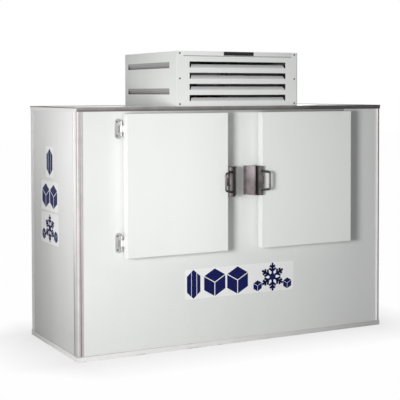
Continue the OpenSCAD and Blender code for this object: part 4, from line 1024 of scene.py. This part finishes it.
# ---------------------------------------------------------------------------
# Cooling parts in the roof unit: the compressor, the finned condenser with its shroud, motor and fan, the
# copper lines with their filter, the junction box and the empty cable inlet. They stand on the unit's tray.
compressor_black = finish("stove_enamel", cast, Metal=(0.022, 0.022, 0.023), Dirt=0.4, Ripple=0.0006,
                          Gloss=0.34, Coat_Weight=0.2)
shroud_black = finish("shroud_plastic", moulded, Plastic=(0.04, 0.04, 0.042), Scuff=0.25, Gloss=0.45)
motor_paint = finish("motor_paint", cast, Metal=(0.10, 0.105, 0.11), Dirt=0.35, Gloss=0.40, Metallic=0.2)
fan_dark = finish("fan_plastic", moulded, Plastic=(0.06, 0.06, 0.065), Scuff=0.2, Gloss=0.36)
copper_tube = finish("copper_tube", cast, Metal=(0.12, 0.065, 0.045), Grime=(0.04, 0.03, 0.025), Dirt=0.8,
                     Ripple=0.0002, Gloss=0.34, Metallic=1.0)
fin_metal = finish("fin_aluminium", grain, Metal=(0.16, 0.16, 0.165), Dull=(0.06, 0.06, 0.06),
                   Stretch=(3.0, 200.0, 200.0), Tarnish=0.5, Gloss=0.36, Metallic=0.85)
box_grey = finish("box_paint", enamel, Paint=(0.30, 0.31, 0.32), Cloudiness=0.10, Peel=0.0004, Gloss=0.40)

eased("compressor", compressor_black, 0.0012)
eased("condenser_shroud", shroud_black, 0.0005)
eased("condenser_motor", motor_paint, 0.0015)
eased("evaporator_motor", motor_paint, 0.0015)
eased("filter_drier", copper_tube, 0.0015, 3)
eased("electrical_box", box_grey, 0.0012)
eased("cable_gland", shroud_black, 0.0008)
make_piece(joined("refrigerant_lines"), "refrigerant_lines_finished", copper_tube, "refrigerant_lines", 50)


def finned_coil(name, fins, rows, high_over):
    """Thin upright fins between two end plates, with rows of copper return bends outside the plates."""
    low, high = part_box(name)
    middle = (low + high) / 2
    plate, fin, play, bend_radius, tube_radius = 0.003, 0.0004, 0.0015, 0.009, 0.004
    end = (high.x - low.x) / 2 - bend_radius - tube_radius - plate
    foot = middle.z - high_over / 2

    def slab(x0, x1, y0, y1, z0, z1):
        """Adds a thin block that stands across the coil; x counts from its middle."""
        rim = ((y0, z0), (y1, z0), (y1, z1), (y0, z1))
        loft(shell, [[Vector((middle.x + x, y, z)) for y, z in rim] for x in (x0, x1)])

    first, step = play - end, (2 * end - 2 * play) / fins
    shell = bmesh.new()
    slab(first, first + fin, low.y + 0.001, high.y - 0.001, foot + 0.002, foot + high_over - 0.002)
    grow(shell, name + "_fins", rack, name, Count=fins, Step=(step, 0, 0), Finish=fin_metal)
    shell = bmesh.new()
    for sign in (-1, 1):
        slab(sign * end, sign * (end + plate), low.y, high.y, low.z, foot + high_over)
    make_piece(shell, name + "_plates", fin_metal, name)
    shell = bmesh.new()
    arc = [math.radians(-90 + 15 * k) for k in range(13)]
    for sign in (-1, 1):
        for n in range(rows):
            z = foot + (n + 0.5) * high_over / rows
            sweep(shell, [Vector((middle.x + sign * (end + plate + bend_radius * math.cos(t)), middle.y,
                                  z + bend_radius * math.sin(t))) for t in arc], tube_radius, 10)
    make_piece(shell, name + "_bends", copper_tube, name, 50)


finned_coil("condenser_coil", 150, 6, 0.290)
finned_coil("evaporator_coil", 130, 4, 0.130)

wheel, given, result = geometry_tree("wheel", Count="Int", Centre="Vector")
line = put(wheel, "GeometryNodeMeshLine", Count=given["Count"], Start_Location=given["Centre"],
           Offset=(0, 0, 0))
share = calc("DIVIDE", put(wheel, "GeometryNodeInputIndex").outputs[0], given["Count"])
turned = put(wheel, "ShaderNodeCombineXYZ", Y=times(share, math.tau))
blades = put(wheel, "GeometryNodeInstanceOnPoints", Points=line.outputs[0], Instance=given["Geometry"],
             Rotation=turned.outputs[0])
end_tree(given, result, blades)


def fan_wheel(name, radius, hub):
    """Five twisted, cambered blades on a round hub with its shaft."""
    centre = joint_at[name + "_spin"]
    shell = bmesh.new()
    rows, across, along = [], 7, 6
    for i in range(along + 1):
        out = i / along
        far = hub - 0.002 + (radius - hub + 0.0015) * out
        twist = math.radians(36 - 16 * out)
        chord = radius * (0.20 + 0.26 * math.sin(math.pi * (0.12 + 0.62 * out)))
        row = []
        for j in range(across + 1):
            t = j / across - 0.5
            camber = 0.06 * radius * (0.25 - t * t)
            swing = (chord * t * math.cos(twist) - 0.10 * radius * out * out) / far
            row.append(shell.verts.new((far * math.cos(swing), chord * t * math.sin(twist) + camber,
                                        far * math.sin(swing))))
        rows.append(row)
    for a, b in zip(rows, rows[1:]):
        for k in range(across):
            shell.faces.new((a[k], a[k + 1], b[k + 1], b[k]))
    piece = grow(shell, name + "_blades", wheel, name, 60, Count=5, Centre=tuple(centre), Finish=fan_dark)
    blade_wall = piece.modifiers.new("blade_thickness", "SOLIDIFY")
    blade_wall.thickness = 0.002
    blade_wall.offset = 0
    shell = bmesh.new()
    lathe(shell, [(0.004, -0.008), (hub - 0.006, -0.0085), (hub - 0.005, -0.0135), (hub - 0.002, -0.0138),
                  (hub, -0.012), (hub, 0.0125), (hub - 0.0015, 0.014), (0.004, 0.014), (0.004, 0.040)],
          centre, (0, 1, 0))
    make_piece(shell, name + "_hub", fan_dark, name, 40)


fan_wheel("condenser_fan", 0.1215, 0.022)

# ---------------------------------------------------------------------------
# Evaporator. A white sheet box under the ceiling with a finned coil inside, a fan behind a guard of plated
# wire, and a plastic tube that takes the melt water out through the back.
guard_wire = finish("guard_wire", cast, Metal=(0.66, 0.67, 0.68), Dirt=0.15, Ripple=0.0001, Gloss=0.24,
                    Metallic=1.0)
drain_white = finish("drain_plastic", moulded, Plastic=(0.72, 0.73, 0.70), Scuff=0.25, Gloss=0.40)
eased("evaporator_housing", jamb_white, 0.0005)
fan_wheel("evaporator_fan", 0.067, 0.018)
make_piece(joined("drain_tube"), "drain_tube_finished", drain_white, "drain_tube")

guard_radius, bulge, rings, wire_radius, stay_radius = 0.086, 0.010, 7, 0.0012, 0.0015
guard_at = joint_at["evaporator_fan_spin"].copy()
guard_at.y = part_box("evaporator_housing")[0].y - wire_radius - 0.0003


def on_guard(share, turn, back=0.0):
    """A point of the guard's shallow dome, at a share of its radius."""
    out = guard_radius * share
    return guard_at + Vector((out * math.cos(turn), back - bulge * (1 - share ** 2), out * math.sin(turn)))


shell = bmesh.new()
for n in range(1, rings + 1):
    sweep(shell, [on_guard(n / rings, math.tau * k / 48) for k in range(48)], wire_radius, 8, closed=True)
for turn in (90, 210, 330):
    sweep(shell, [on_guard(j / 8, math.radians(turn), 0.002) for j in range(9)], stay_radius, 8)
make_piece(shell, "fan_guard", guard_wire, "evaporator_housing", replace=False)
